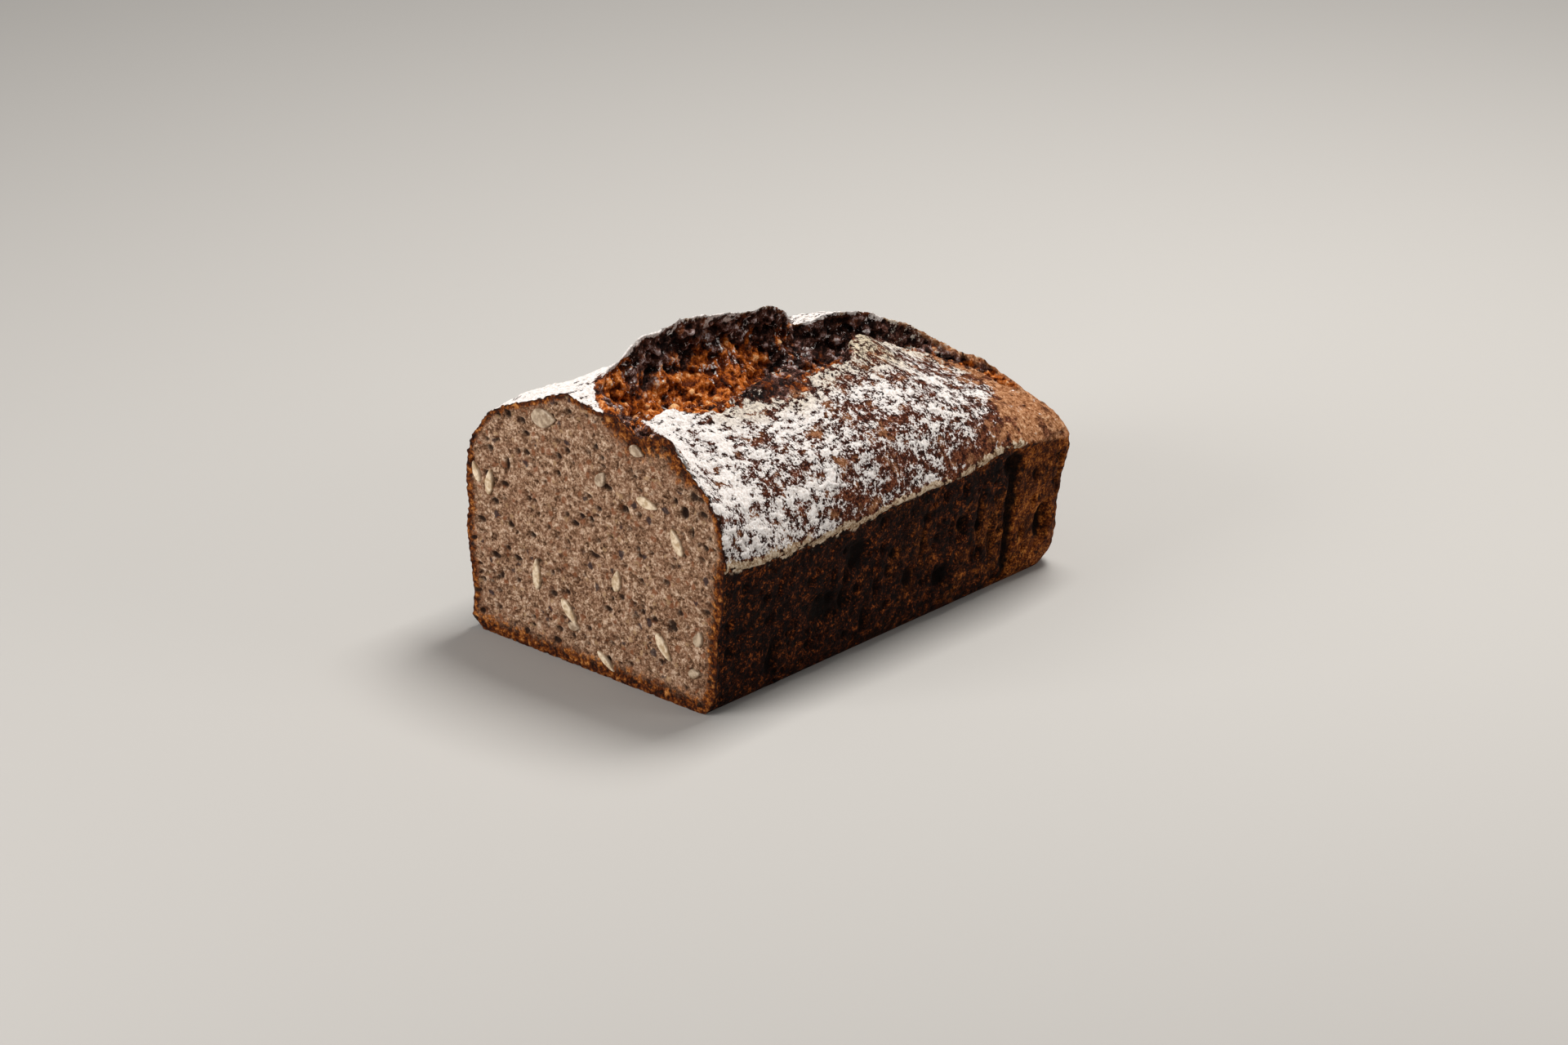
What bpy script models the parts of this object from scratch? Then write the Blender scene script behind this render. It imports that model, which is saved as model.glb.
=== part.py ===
"""Half a tin loaf of seeded rye bread, cut across, with a torn top.

The loaf is one solid. A cube is divided into a fine grid, and its faces are laid on the
cut face, the base, the two walls, the top and the end wall. The top is a dome with a long
tear: the left flap stands up over the tear, and the right flap slopes down to the tin's rim.

Lengths are millimetres until the last step, which scales the mesh to metres.
Places on the loaf are (x, s, z): x runs across, s runs from the cut face to the end wall
and z runs up from the table.
"""
import bmesh
import bpy
import numpy as np
from mathutils import Vector, noise

MM = 0.001
SHARP_ANGLE = 40
# Points are read off each line from this many times finer steps
FINER = 4
# Heights below these count as the base, before and after the thinning
BASE_LIMIT = 0.01
FLAT_BASE = 0.05
# Places closer to the cut face than this stay in its plane
CUT_LIMIT = 0.5
# Shift of the noise from one seed to the next
SEED_SHIFT = Vector((31.7, 11.3, 7.9))

# Driving dimensions
LENGTH = 179.0
REAR_SHOULDER = 25.0
RIGHT_SHOULDER = 35.0
# Steep part of the dome by the rim: share of the rise, and how steep
STEEP_SHARE = 0.45
STEEP_POWER = 8
# Fall of the left flap past its ridge: slope, reach, and places s between which it fades
RIDGE_FALL = 0.14
FALL_REACH = 30.0
FALL_FADES = (40, 20)
# Cream ledge along the right rim: height, step out, height of the step, and where it fades
LEDGE_HEIGHT = 2.0
LEDGE_DEPTH = 0.9
LEDGE_STEP = 0.6
LEDGE_FADES = (156, 144)
# Curl of the flaps' edges: height, width, and places x between which it fades
LEFT_LIP = (1.2, 1.5)
LEFT_LIP_FADES = (58, 38)
LIFT_REACH = 6.0
RIGHT_LIP = (1.0, 3.0)
RIGHT_LIP_FADES = (48, 34)
TIP_RISE = 3.0
TIP_FADES = (14, 4)
# Closed end of the tear, where the flaps join: places x, and width of the join
TEAR_CLOSES = (46, 40)
JOIN_WIDENS = (43, 51)
JOIN_WIDTH = 2.0
WIDE_JOIN = 12.0
# Inside of the tear: rise of the floor to the right, hollow of its walls, width of the rough edge
FLOOR_RISE = 3.0
TEAR_HOLLOW = 1.4
ROUGH_EDGE = 1.5
# Round corners and leaning wall of the end
END_CORNER = 9.0
HALF_WIDTH = 58.0
END_LEANS = (143, 179)
# Height over which bumps die out towards the base, and place past which points are on a wall
STILL_BASE = 2.5
WALL_PLACE = 45.0
# Heights between which marks fade under the rim
RIGHT_MARKS_FADE = (56, 52)
LEFT_MARKS_FADE = (46, 40)
MARK_EDGE = 0.9

# Walls that the tin gave: (height, distance from the middle plane)
RIGHT_WALL = ((0, 50.5), (1.5, 52.6), (4.5, 54.4), (12.6, 56.0), (25, 57.0), (37.5, 58.6),
              (50, 60.0), (60, 60.6))
LEFT_WALL = ((0, -50.5), (1.5, -53.2), (12, -54.8), (21.5, -56.1), (30, -57.0), (45, -57.0),
             (65, -56.4))
END_WALL = ((0, 7.5), (2, 5.6), (5, 4.0), (15, 2.4), (30, 1.0), (45, 0.2), (55, -0.4))

# Heights along the loaf: (place s, height)
RIGHT_RIM = ((0, 54.5), (15, 52.7), (38, 51.0), (60, 50.3), (82, 52.3), (115, 52.3), (131, 54.3),
             (145, 54.5), (157, 51.5), (172, 48.5), (LENGTH, 47.5))
LEFT_RIM = ((0, 63), (60, 60), (120, 56), (160, 52), (LENGTH, 50))
RIDGE_HEIGHT = ((0, 95.2), (15, 97), (25, 98.5), (33, 103), (45, 104), (58, 104.6), (75, 102),
                (90, 98.5), (100, 97.5), (106, 94), (112, 89), (118, 87), (124, 88), (136, 87),
                (145, 84), (155, 79.5), (162, 77), (LENGTH, 75))
LEFT_LIFT = ((0, 0), (18, 0), (26, 3.5), (33, 7.5), (45, 8), (58, 8), (75, 6), (90, 4), (100, 3),
             (110, 0), (LENGTH, 0))
RIGHT_FLAP_HEIGHT = ((0, 88), (24, 88), (45, 88), (75, 88.5), (100, 87), (117, 87.5), (124, 85),
                     (131, 81.5), (140, 77), (150, 73), (160, 70), (LENGTH, 66))
FLOOR_HEIGHT = ((0, 88.6), (5, 87.5), (12, 85), (25, 81.5), (45, 79), (75, 77), (105, 71),
                (115, 73), (125, 75), (135, 73.5), (145, 71), (155, 68), (162, 63), (LENGTH, 60))

# Place across of the left flap's ridge: (place s, x)
RIDGE_PLACE = ((0, -10), (105, -10), (118, -10), (128, -7), (138, -3), (146, 1), (LENGTH, 4))
RIGHT_FLAP_PLACE = ((0, 38), (10, 24), (60, 20), (100, 23), (120, 15), (LENGTH, 15))

# Edges of the tear seen from above: (place s, x)
LEFT_EDGE = ((-3, 13), (0, 12), (5, 4), (10, -4), (17, -9.5), (30, -10.5), (60, -11), (90, -11),
             (105, -10), (113, -14), (120, -11), (128, -7), (138, -3), (146, 1), (154, 3.5),
             (160, 8.5), (164, 14), (165.6, 20), (166, 30), (165.6, 40), (164.8, 46), (163, 64))
RIGHT_EDGE = ((-3, 39), (0, 38), (3, 30), (8, 15.5), (16, 13), (24, 13), (31, 18), (40, 20),
              (53, 20), (62, 18), (73, 15), (79, 13), (83, 20), (86, 24), (93, 23.5), (101, 23),
              (108, 17), (115, 12), (120, 10), (126, 10), (133, 10.5), (142, 11), (150, 14),
              (156, 18), (160, 24), (162, 31), (163, 39), (164.4, 46), (166.5, 64))
# How far from an edge the tear reaches its floor: (place s, distance)
LEFT_REACH = ((0, 12), (20, 9), (45, 9), (100, 10), (125, 7), (150, 4.5), (LENGTH, 2.5))
RIGHT_REACH = ((0, 3), (40, 4), (100, 5), (125, 4), (LENGTH, 1.6))
UNDERCUT = ((0, 0), (25, 1), (45, 3.5), (95, 4), (110, 1.5), (130, 2.5), (150, 1), (LENGTH, 0))

# Marks on the right wall: (place s, height, half length, half height, depth)
RIGHT_MARKS = ((145, 25, 1.8, 23, 3.0), (145, 46.5, 3.5, 3.4, 4.2), (163, 19, 2.4, 4.6, 3.2),
               (170, 36, 1.0, 8, 1.6), (111, 15, 3.2, 3.0, 3.4), (94, 20, 2.6, 3.4, 2.2),
               (121, 31, 1.8, 3.2, 2.2), (66, 38, 3.6, 4.2, 2.6), (53, 23, 9, 5, 1.6),
               (100, 31, 1.2, 8, 1.4), (129, 33, 1.2, 9, 1.6), (136, 20, 1.3, 8, 1.2))
# Marks on the left wall, which follow the same make
LEFT_MARKS = ((22, 31, 3.0, 3.4, 2.4), (47, 18, 2.4, 3.0, 2.6), (70, 40, 1.4, 9, 1.6),
              (88, 24, 8, 5, 1.6), (109, 36, 2.6, 3.2, 2.6), (128, 28, 1.8, 17, 2.8),
              (152, 17, 2.8, 3.0, 2.6))
# Marks on the end wall: (x, height, half width, half height, depth)
END_MARKS = ((-30, 32, 1.8, 15, 2.4), (-8, 20, 3.4, 3.0, 2.4), (14, 36, 2.4, 3.2, 2.2),
             (30, 22, 7, 5, 1.4))

# Holes in the cut face: (x, height, half width, half height, depth)
HOLES = ((42.2, 68.1, 1.7, 2.1, 2.4), (46.5, 74.7, 2.1, 1.4, 2.0), (38.3, 71.2, 1.0, 1.3, 1.8),
         (14.8, 61.8, 1.2, 1.5, 1.9), (7.9, 67.3, 2.4, 1.2, 1.7), (-38.1, 63.3, 1.0, 2.6, 1.8),
         (-47.9, 69.4, 1.2, 0.9, 1.6), (-43.2, 70.6, 1.0, 0.9, 1.6), (-37.5, 81.4, 1.4, 2.2, 1.9),
         (-11.0, 52.6, 1.1, 1.2, 1.6), (1.5, 41.7, 2.8, 1.1, 1.8), (-18.0, 29.9, 1.0, 1.4, 1.5),
         (21.6, 49.8, 1.1, 1.3, 1.6), (-13.1, 15.2, 1.5, 1.0, 1.5), (31.3, 12.5, 1.2, 1.2, 1.6),
         (-43.6, 10.0, 1.6, 1.1, 1.5), (22.9, 38.9, 1.3, 1.0, 1.5), (45.7, 62.3, 0.9, 2.4, 1.8),
         (-31.1, 80.5, 2.0, 1.2, 1.8))
# Seeds in the cut face: (x, height, half length, half width, turn in degrees)
SEEDS = ((-20.4, 84.2, 4.8, 3.2, 8), (-46.4, 54.6, 4.0, 1.6, 84), (-52.5, 56.7, 3.2, 1.3, 112),
         (5.4, 69.8, 2.6, 2.0, 60), (26.2, 67.0, 4.0, 1.7, -8), (39.2, 57.1, 4.2, 1.8, 118),
         (-24.9, 27.6, 4.8, 1.6, 92), (-10.0, 18.5, 4.4, 1.6, -48), (12.1, 35.8, 3.4, 1.8, 84),
         (32.9, 18.5, 4.5, 1.7, -52), (46.7, 13.4, 2.2, 1.6, 20), (48.6, 26.1, 2.6, 1.8, 70),
         (6.7, 5.6, 4.0, 1.0, -35), (21.8, 83.9, 2.8, 1.8, -10), (-7.8, 13.8, 2.2, 1.5, 0))
SEED_RISE = 0.7
# Share of the bumps that the rim of the cut face keeps
CUT_RIM_SHARE = 0.4

# Crags: (size, depth)
TEAR_CRAGS = ((8.0, 2.6), (4.0, 1.3))
CRUST_BUMPS = ((14.0, 0.7), (6.0, 0.45))
EDGE_WANDER = 1.3
EDGE_WANDER_SIZE = 7.0

# Grid of the cube, and the triangles that are kept
ACROSS = 150
UP = 64
ALONG = 176
STATION_DRIFT = 0.07
TRIANGLES_KEPT = 10800

CRUST_COLOR = (0.105, 0.045, 0.022, 1.0)
CRUST_ROUGHNESS = 0.85


def along(stations, place):
    """Smooth curve through (place, value) pairs, read at each place."""
    spot, value = np.array(stations, float).T
    slope = np.gradient(value, spot)
    first = np.clip(np.searchsorted(spot, place) - 1, 0, len(spot) - 2)
    width = spot[first + 1] - spot[first]
    t = np.clip((place - spot[first]) / width, 0, 1)
    start = (1 + 2 * t) * (1 - t) ** 2 * value[first] + t * (1 - t) ** 2 * width * slope[first]
    end = t * t * (3 - 2 * t) * value[first + 1] - t * t * (1 - t) * width * slope[first + 1]
    return start + end


def smooth_step(t):
    """Even rise from 0 to 1 while t goes from 0 to 1."""
    t = np.clip(t, 0, 1)
    return t * t * (3 - 2 * t)


def fade(value, start, end):
    """Even change from 0 to 1 while a value goes from start to end."""
    return smooth_step((value - start) / (end - start))


def side_distance(line, x, s):
    """Distance to a line of (s, x) points in plan, positive on its right."""
    points = np.array(line, float)
    start, end = points[:-1], points[1:]
    step = end - start
    ds = s[..., None] - start[:, 0]
    dx = x[..., None] - start[:, 1]
    t = np.clip((ds * step[:, 0] + dx * step[:, 1]) / (step ** 2).sum(axis=1), 0, 1)
    gap = np.hypot(ds - t * step[:, 0], dx - t * step[:, 1])
    nearest = gap.argmin(axis=-1)[..., None]
    side = np.take_along_axis(dx * step[:, 0] - ds * step[:, 1], nearest, -1)[..., 0]
    return np.take_along_axis(gap, nearest, -1)[..., 0] * np.where(side < 0, -1, 1)


def swirl(points, size, seed):
    """Noise vector at each point, in crags of the given size."""
    return np.array([noise.noise_vector(Vector(p) / size + seed * SEED_SHIFT) for p in points])


def shoulder(u):
    """Rise of the dome inside the rim, from 0 to 1: a steep start, then an even slope."""
    u = np.clip(u, 0, 1)
    return (1 - STEEP_SHARE) * u + STEEP_SHARE * (1 - (1 - u) ** STEEP_POWER)


def rim_right(s):
    """Height and place of the rim on the right."""
    height = along(RIGHT_RIM, s)
    return height, along(RIGHT_WALL, height) + LEDGE_DEPTH * fade(s, *LEDGE_FADES)


def rim_left(s):
    """Height and place of the rim on the left."""
    height = along(LEFT_RIM, s)
    return height, along(LEFT_WALL, height)


def left_surface(x, s):
    """Outer surface of the left flap and of the end shoulder."""
    left_height, left_place = rim_left(s)
    right_height, right_place = rim_right(s)
    share = (x - left_place) / (right_place - left_place)
    rim = left_height + (right_height - left_height) * share
    ridge = along(RIDGE_PLACE, s)
    from_side = np.minimum((x - left_place) / (ridge - left_place), (right_place - x) / RIGHT_SHOULDER)
    from_end = (LENGTH - s) / REAR_SHOULDER
    fall = RIDGE_FALL * np.clip(x - ridge, 0, FALL_REACH) * fade(s, *FALL_FADES)
    top = along(RIDGE_HEIGHT, s) - along(LEFT_LIFT, s)
    return rim + (top - rim) * shoulder(from_side) * shoulder(from_end) - fall


def right_surface(x, s):
    """Outer surface of the right flap."""
    height, place = rim_right(s)
    reach = (place - x) / (place - along(RIGHT_FLAP_PLACE, s))
    return height + (along(RIGHT_FLAP_HEIGHT, s) - height) * shoulder(reach)


def top_surface(x, s):
    """Place across and height of the top, with the tear, at plan position x, s."""
    flat = np.stack([x, s, np.zeros_like(x)], axis=-1).reshape(-1, 3)
    wander = swirl(flat, EDGE_WANDER_SIZE, 1).reshape(x.shape + (3,)) * EDGE_WANDER
    from_left = side_distance(LEFT_EDGE, x + wander[..., 0], s + wander[..., 1])
    from_right = -side_distance(RIGHT_EDGE, x + wander[..., 1], s + wander[..., 2])
    join = JOIN_WIDTH + (WIDE_JOIN - JOIN_WIDTH) * fade(x, *JOIN_WIDENS)
    open_share = fade(x, *TEAR_CLOSES)
    right_share = smooth_step((from_left - from_right) / (2 * join) + 0.5)
    lip, width = LEFT_LIP
    left = left_surface(x, s) + lip * np.exp(-np.abs(from_left) / width) * fade(x, *LEFT_LIP_FADES)
    left = left + along(LEFT_LIFT, s) * np.exp(-np.clip(-from_left, 0, None) / LIFT_REACH)
    lip, width = RIGHT_LIP
    lip = lip + TIP_RISE * fade(s, *TIP_FADES)
    right = right_surface(x, s) + lip * np.exp(-np.abs(from_right) / width) * fade(x, *RIGHT_LIP_FADES)
    outside = left + (right - left) * right_share
    floor = along(FLOOR_HEIGHT, s) + FLOOR_RISE * smooth_step(right_share)
    wall_left = np.clip(1 - from_left / along(LEFT_REACH, s), 0, 1) ** TEAR_HOLLOW
    wall_right = np.clip(1 - from_right / along(RIGHT_REACH, s), 0, 1) ** TEAR_HOLLOW
    inside = floor + np.maximum((left - floor) * wall_left, (right - floor) * wall_right)
    torn = (from_left > 0) & (from_right > 0)
    height = outside + np.where(torn, np.minimum(inside - outside, 0) * open_share, 0)
    place = x - np.where(torn, along(UNDERCUT, s) * 4 * wall_left * (1 - wall_left), 0)
    deep_enough = smooth_step(np.minimum(from_left, from_right) / ROUGH_EDGE) * open_share
    return place, height, np.where(torn, deep_enough, 0)


def even_points(line, count):
    """The same line, read at even steps along it."""
    run = np.concatenate([[0], np.cumsum(np.hypot(np.diff(line[:, 0]), np.diff(line[:, 1])))])
    steps = np.linspace(0, run[-1], count + 1)
    return np.stack([np.interp(steps, run, column) for column in line.T], axis=-1)


def wall_points(wall, height, ledge):
    """Wall of one section, from the base up to the rim: (x, z, 0)."""
    z = np.linspace(0, height, FINER * UP)
    x = along(wall, z) + ledge * smooth_step((z - height + LEDGE_HEIGHT) / LEDGE_STEP)
    return even_points(np.stack([x, z, 0 * z], axis=-1), UP)


def sections(places):
    """Points round each section: left wall, top, right wall and base."""
    left, top, right, base = [], [], [], []
    for s in places:
        left_height, left_place = rim_left(s)
        right_height, right_place = rim_right(s)
        x = np.linspace(left_place, right_place, FINER * ACROSS)
        line = np.stack(top_surface(x, np.full_like(x, s)), axis=-1)
        left.append(wall_points(LEFT_WALL, left_height, 0))
        right.append(wall_points(RIGHT_WALL, right_height, LEDGE_DEPTH * fade(s, *LEDGE_FADES)))
        line[0, :2] = left[-1][-1, :2]
        line[-1, :2] = right[-1][-1, :2]
        top.append(even_points(line, ACROSS))
        ends = np.stack([left[-1][0], right[-1][0]])
        base.append(even_points(ends, ACROSS))
    return [np.array(part) for part in (left, top, right, base)]


def cap_point(parts, station, a, c):
    """Point inside the section at a station, blended between its four sides."""
    left, top, right, base = (part[station] for part in parts)
    across = (a / ACROSS)[:, None]
    up = (c / UP)[:, None]
    sides = (1 - across) * left[c] + across * right[c]
    caps = (1 - up) * base[a] + up * top[a]
    corners = (1 - across) * (1 - up) * left[0] + across * (1 - up) * right[0]
    corners = corners + (1 - across) * up * left[-1] + across * up * right[-1]
    return sides + caps - corners


def marks(first, second, table):
    """Depth of the round and long marks at each point of a wall."""
    depth = np.zeros_like(first)
    for place, height, half_length, half_height, deep in table:
        off = ((first - place) / half_length) ** 2 + np.abs((second - height) / half_height) ** 3
        depth = np.maximum(depth, deep * np.exp(-off * MARK_EDGE))
    return depth


def seed_rise(x, z):
    """Rise of the seeds out of the cut face."""
    rise = np.zeros_like(x)
    for place, height, half_length, half_width, turn in SEEDS:
        angle = np.radians(turn)
        along_seed = (x - place) * np.cos(angle) + (z - height) * np.sin(angle)
        across_seed = (z - height) * np.cos(angle) - (x - place) * np.sin(angle)
        off = (along_seed / half_length) ** 2 + (across_seed / half_width) ** 2
        rise = np.maximum(rise, SEED_RISE * np.sqrt(np.clip(1 - off, 0, 1)))
    return rise


def lay_on_loaf(cells):
    """Place of each cube vertex on the loaf, from its whole numbers of grid steps."""
    a, b, c = cells.T
    end = np.linspace(0, 1, ALONG + 1)
    places = LENGTH * (end + STATION_DRIFT * np.sin(np.pi * end) * end)
    parts = sections(places)
    left, top, right, base = parts
    point = np.zeros((len(cells), 3))
    for at, station in ((b == 0, 0), (b == ALONG, ALONG)):
        point[at] = cap_point(parts, station, a[at], c[at])
    middle = (b > 0) & (b < ALONG)
    sides = ((c == 0, base, a), (a == 0, left, c), (a == ACROSS, right, c), (c == UP, top, a))
    for at, part, step in sides:
        at = at & middle
        point[at] = part[b[at], step[at]]
    x, z, torn = point.T.copy()
    s = places[b].copy()
    return finish_form(x, s, z, torn, b == 0, b == ALONG)


def finish_form(x, s, z, torn, on_cut, on_end):
    """Round the end's corners, add the crags, marks and seeds, and keep the base flat."""
    short = np.clip(END_CORNER - (LENGTH - s), 0, END_CORNER)
    x = x * (1 - (END_CORNER - np.sqrt(END_CORNER ** 2 - short ** 2)) / HALF_WIDTH)
    s = s - fade(s, *END_LEANS) * along(END_WALL, z)
    still = smooth_step(z / STILL_BASE)
    points = np.stack([x, s, z], axis=-1)
    push = np.zeros_like(points)
    for seed, (size, depth) in enumerate(TEAR_CRAGS, 2):
        push += swirl(points, size, seed) * depth * torn[:, None]
    for seed, (size, depth) in enumerate(CRUST_BUMPS, 5):
        push += swirl(points, size, seed) * depth * ((1 - torn) * still)[:, None]
    push[:, 1] *= np.where(on_cut | (s < CUT_LIMIT), 0, 1)
    push[:, [0, 2]] *= np.where(on_cut, CUT_RIM_SHARE, 1)[:, None]
    below_rim = fade(z, *LEFT_MARKS_FADE) * still
    on_right = (x > WALL_PLACE) & ~on_cut & ~on_end
    on_left = (x < -WALL_PLACE) & ~on_cut & ~on_end
    push[:, 0] -= np.where(on_right, marks(s, z, RIGHT_MARKS) * fade(z, *RIGHT_MARKS_FADE) * still, 0)
    push[:, 0] += np.where(on_left, marks(s, z, LEFT_MARKS) * below_rim, 0)
    push[:, 1] -= np.where(on_end, marks(x, z, END_MARKS) * below_rim, 0)
    push[:, 1] += np.where(on_cut, marks(x, z, HOLES) - seed_rise(x, z), 0)
    push[:, 2] = np.where(z < BASE_LIMIT, 0, push[:, 2])
    return points + push


def cube_grid():
    """Cube of whole grid steps, divided on every side."""
    mesh = bmesh.new()
    bmesh.ops.create_cube(mesh, size=1)
    for axis, cuts in ((0, ACROSS), (1, ALONG), (2, UP)):
        for vert in mesh.verts:
            vert.co[axis] = round((vert.co[axis] + 0.5) * cuts)
        ends = [(edge, edge.verts[0].co[axis], edge.verts[1].co[axis]) for edge in mesh.edges]
        edges = [edge for edge, start, end in ends if start != end]
        bmesh.ops.subdivide_edges(mesh, edges=edges, cuts=cuts - 1, use_grid_fill=True)
    return mesh


def crust_material():
    """Brown crust."""
    material = bpy.data.materials.new("crust")
    material.use_nodes = True
    shader = material.node_tree.nodes["Principled BSDF"]
    shader.inputs["Base Color"].default_value = CRUST_COLOR
    shader.inputs["Roughness"].default_value = CRUST_ROUGHNESS
    shader.inputs["Metallic"].default_value = 0.0
    return material


def thinned(mesh, name):
    """Copy of a dense mesh with the set number of triangles."""
    dense = bpy.data.objects.new(name, mesh)
    bpy.context.scene.collection.objects.link(dense)
    thin = dense.modifiers.new("thin", "DECIMATE")
    thin.ratio = TRIANGLES_KEPT / (2 * len(mesh.polygons))
    thin.use_collapse_triangulate = True
    graph = bpy.context.evaluated_depsgraph_get()
    result = bpy.data.meshes.new_from_object(dense.evaluated_get(graph))
    bpy.data.objects.remove(dense)
    return result


def centred(mesh):
    """Stand the mesh on its base, with its box centred on the origin."""
    co = np.array([vert.co for vert in mesh.vertices])
    co[:, 2] = np.where(co[:, 2] < FLAT_BASE, 0, co[:, 2])
    co[:, :2] -= (co[:, :2].min(axis=0) + co[:, :2].max(axis=0)) / 2
    mesh.vertices.foreach_set("co", (co * MM).ravel())
    mesh.update()


def main():
    """Build the loaf."""
    for item in list(bpy.data.objects):
        bpy.data.objects.remove(item)
    grid = cube_grid()
    cells = np.array([vert.co for vert in grid.verts]).round().astype(int)
    for vert, place in zip(grid.verts, lay_on_loaf(cells)):
        vert.co = place
    dense = bpy.data.meshes.new("dense")
    grid.to_mesh(dense)
    grid.free()
    mesh = thinned(dense, "dense")
    centred(mesh)
    mesh.name = "loaf"
    mesh.materials.clear()
    mesh.materials.append(crust_material())
    mesh.shade_smooth()
    mesh.set_sharp_from_angle(angle=np.radians(SHARP_ANGLE))
    loaf = bpy.data.objects.new("loaf", mesh)
    group = bpy.data.collections.new("rye_bread_loaf")
    bpy.context.scene.collection.children.link(group)
    group.objects.link(loaf)


main()
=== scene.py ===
"""Looks of the half rye loaf: crust, torn top, cut face, seeds and flour.

The loaf's form is the one of its solid, made from the same named sizes, with finer relief.
Lengths are millimetres on the loaf; every mesh is scaled to metres and set in the frame.
Places on the loaf are (x, s, z): x runs across, s runs from the cut face to the end wall
and z runs up from the table.
"""
import math
import random

import bmesh
import bpy
import numpy as np
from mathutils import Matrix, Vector, kdtree, noise


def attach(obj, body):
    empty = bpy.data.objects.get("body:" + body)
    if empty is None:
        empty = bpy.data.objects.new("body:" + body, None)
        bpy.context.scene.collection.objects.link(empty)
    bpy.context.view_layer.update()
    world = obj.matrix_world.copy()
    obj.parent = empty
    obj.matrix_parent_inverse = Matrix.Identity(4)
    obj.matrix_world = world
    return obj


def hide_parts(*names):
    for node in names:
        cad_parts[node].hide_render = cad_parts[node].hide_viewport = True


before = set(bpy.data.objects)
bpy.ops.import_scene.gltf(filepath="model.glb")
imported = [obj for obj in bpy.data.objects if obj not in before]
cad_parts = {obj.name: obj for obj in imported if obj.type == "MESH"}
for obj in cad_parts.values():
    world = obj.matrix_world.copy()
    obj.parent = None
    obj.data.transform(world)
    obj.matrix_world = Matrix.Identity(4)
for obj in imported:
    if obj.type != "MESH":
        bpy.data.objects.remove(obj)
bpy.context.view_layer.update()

MM = 0.001
# Place of the frame's origin on the loaf
MIDDLE_X = 2.06
MIDDLE_S = 89.36

# Driving dimensions of the loaf
LENGTH = 179.0
REAR_SHOULDER = 25.0
RIGHT_SHOULDER = 35.0
# Steep part of the dome by the rim: share of the rise, and how steep
STEEP_SHARE = 0.45
STEEP_POWER = 8
# Fall of the left flap past its ridge: slope, reach, and places s between which it fades
RIDGE_FALL = 0.14
FALL_REACH = 30.0
FALL_FADES = (40, 20)
# Cream ledge along the right rim: height, step out, height of the step, and where it fades
LEDGE_HEIGHT = 2.0
LEDGE_DEPTH = 0.9
LEDGE_STEP = 0.6
LEDGE_FADES = (156, 144)
# Curl of the flaps' edges: height, width, and places x between which it fades
LEFT_LIP = (1.2, 1.5)
LEFT_LIP_FADES = (58, 38)
LIFT_REACH = 6.0
RIGHT_LIP = (1.0, 3.0)
RIGHT_LIP_FADES = (48, 34)
TIP_RISE = 3.0
TIP_FADES = (14, 4)
# Closed end of the tear, where the flaps join: places x, and width of the join
TEAR_CLOSES = (46, 40)
JOIN_WIDENS = (43, 51)
JOIN_WIDTH = 2.0
WIDE_JOIN = 12.0
# Inside of the tear: rise of the floor to the right, hollow of its walls, width of the rough edge
FLOOR_RISE = 3.0
TEAR_HOLLOW = 1.4
ROUGH_EDGE = 1.5
# Round corners and leaning wall of the end
END_CORNER = 9.0
HALF_WIDTH = 58.0
END_LEANS = (143, 179)
# Height over which bumps die out towards the base, and place past which points are on a wall
STILL_BASE = 2.5
WALL_PLACE = 45.0
# Heights between which marks fade under the rim
RIGHT_MARKS_FADE = (56, 52)
LEFT_MARKS_FADE = (46, 40)
MARK_EDGE = 0.9

# Walls that the tin gave: (height, distance from the middle plane)
RIGHT_WALL = ((0, 50.5), (1.5, 52.6), (4.5, 54.4), (12.6, 56.0), (25, 57.0), (37.5, 58.6),
              (50, 60.0), (60, 60.6))
LEFT_WALL = ((0, -50.5), (1.5, -53.2), (12, -54.8), (21.5, -56.1), (30, -57.0), (45, -57.0),
             (65, -56.4))
END_WALL = ((0, 7.5), (2, 5.6), (5, 4.0), (15, 2.4), (30, 1.0), (45, 0.2), (55, -0.4))

# Heights along the loaf: (place s, height)
RIGHT_RIM = ((0, 54.5), (15, 52.7), (38, 51.0), (60, 50.3), (82, 52.3), (115, 52.3), (131, 54.3),
             (145, 54.5), (157, 51.5), (172, 48.5), (LENGTH, 47.5))
LEFT_RIM = ((0, 63), (60, 60), (120, 56), (160, 52), (LENGTH, 50))
RIDGE_HEIGHT = ((0, 95.2), (15, 97), (25, 98.5), (33, 103), (45, 104), (58, 104.6), (75, 102),
                (90, 98.5), (100, 97.5), (106, 94), (112, 89), (118, 87), (124, 88), (136, 87),
                (145, 84), (155, 79.5), (162, 77), (LENGTH, 75))
LEFT_LIFT = ((0, 0), (18, 0), (26, 3.5), (33, 7.5), (45, 8), (58, 8), (75, 6), (90, 4), (100, 3),
             (110, 0), (LENGTH, 0))
RIGHT_FLAP_HEIGHT = ((0, 88), (24, 88), (45, 88), (75, 88.5), (100, 87), (117, 87.5), (124, 85),
                     (131, 81.5), (140, 77), (150, 73), (160, 70), (LENGTH, 66))
FLOOR_HEIGHT = ((0, 88.6), (5, 87.5), (12, 85), (25, 81.5), (45, 79), (75, 77), (105, 71),
                (115, 73), (125, 75), (135, 73.5), (145, 71), (155, 68), (162, 63), (LENGTH, 60))

# Place across of the left flap's ridge: (place s, x)
RIDGE_PLACE = ((0, -10), (105, -10), (118, -10), (128, -7), (138, -3), (146, 1), (LENGTH, 4))
RIGHT_FLAP_PLACE = ((0, 38), (10, 24), (60, 20), (100, 23), (120, 15), (LENGTH, 15))

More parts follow.
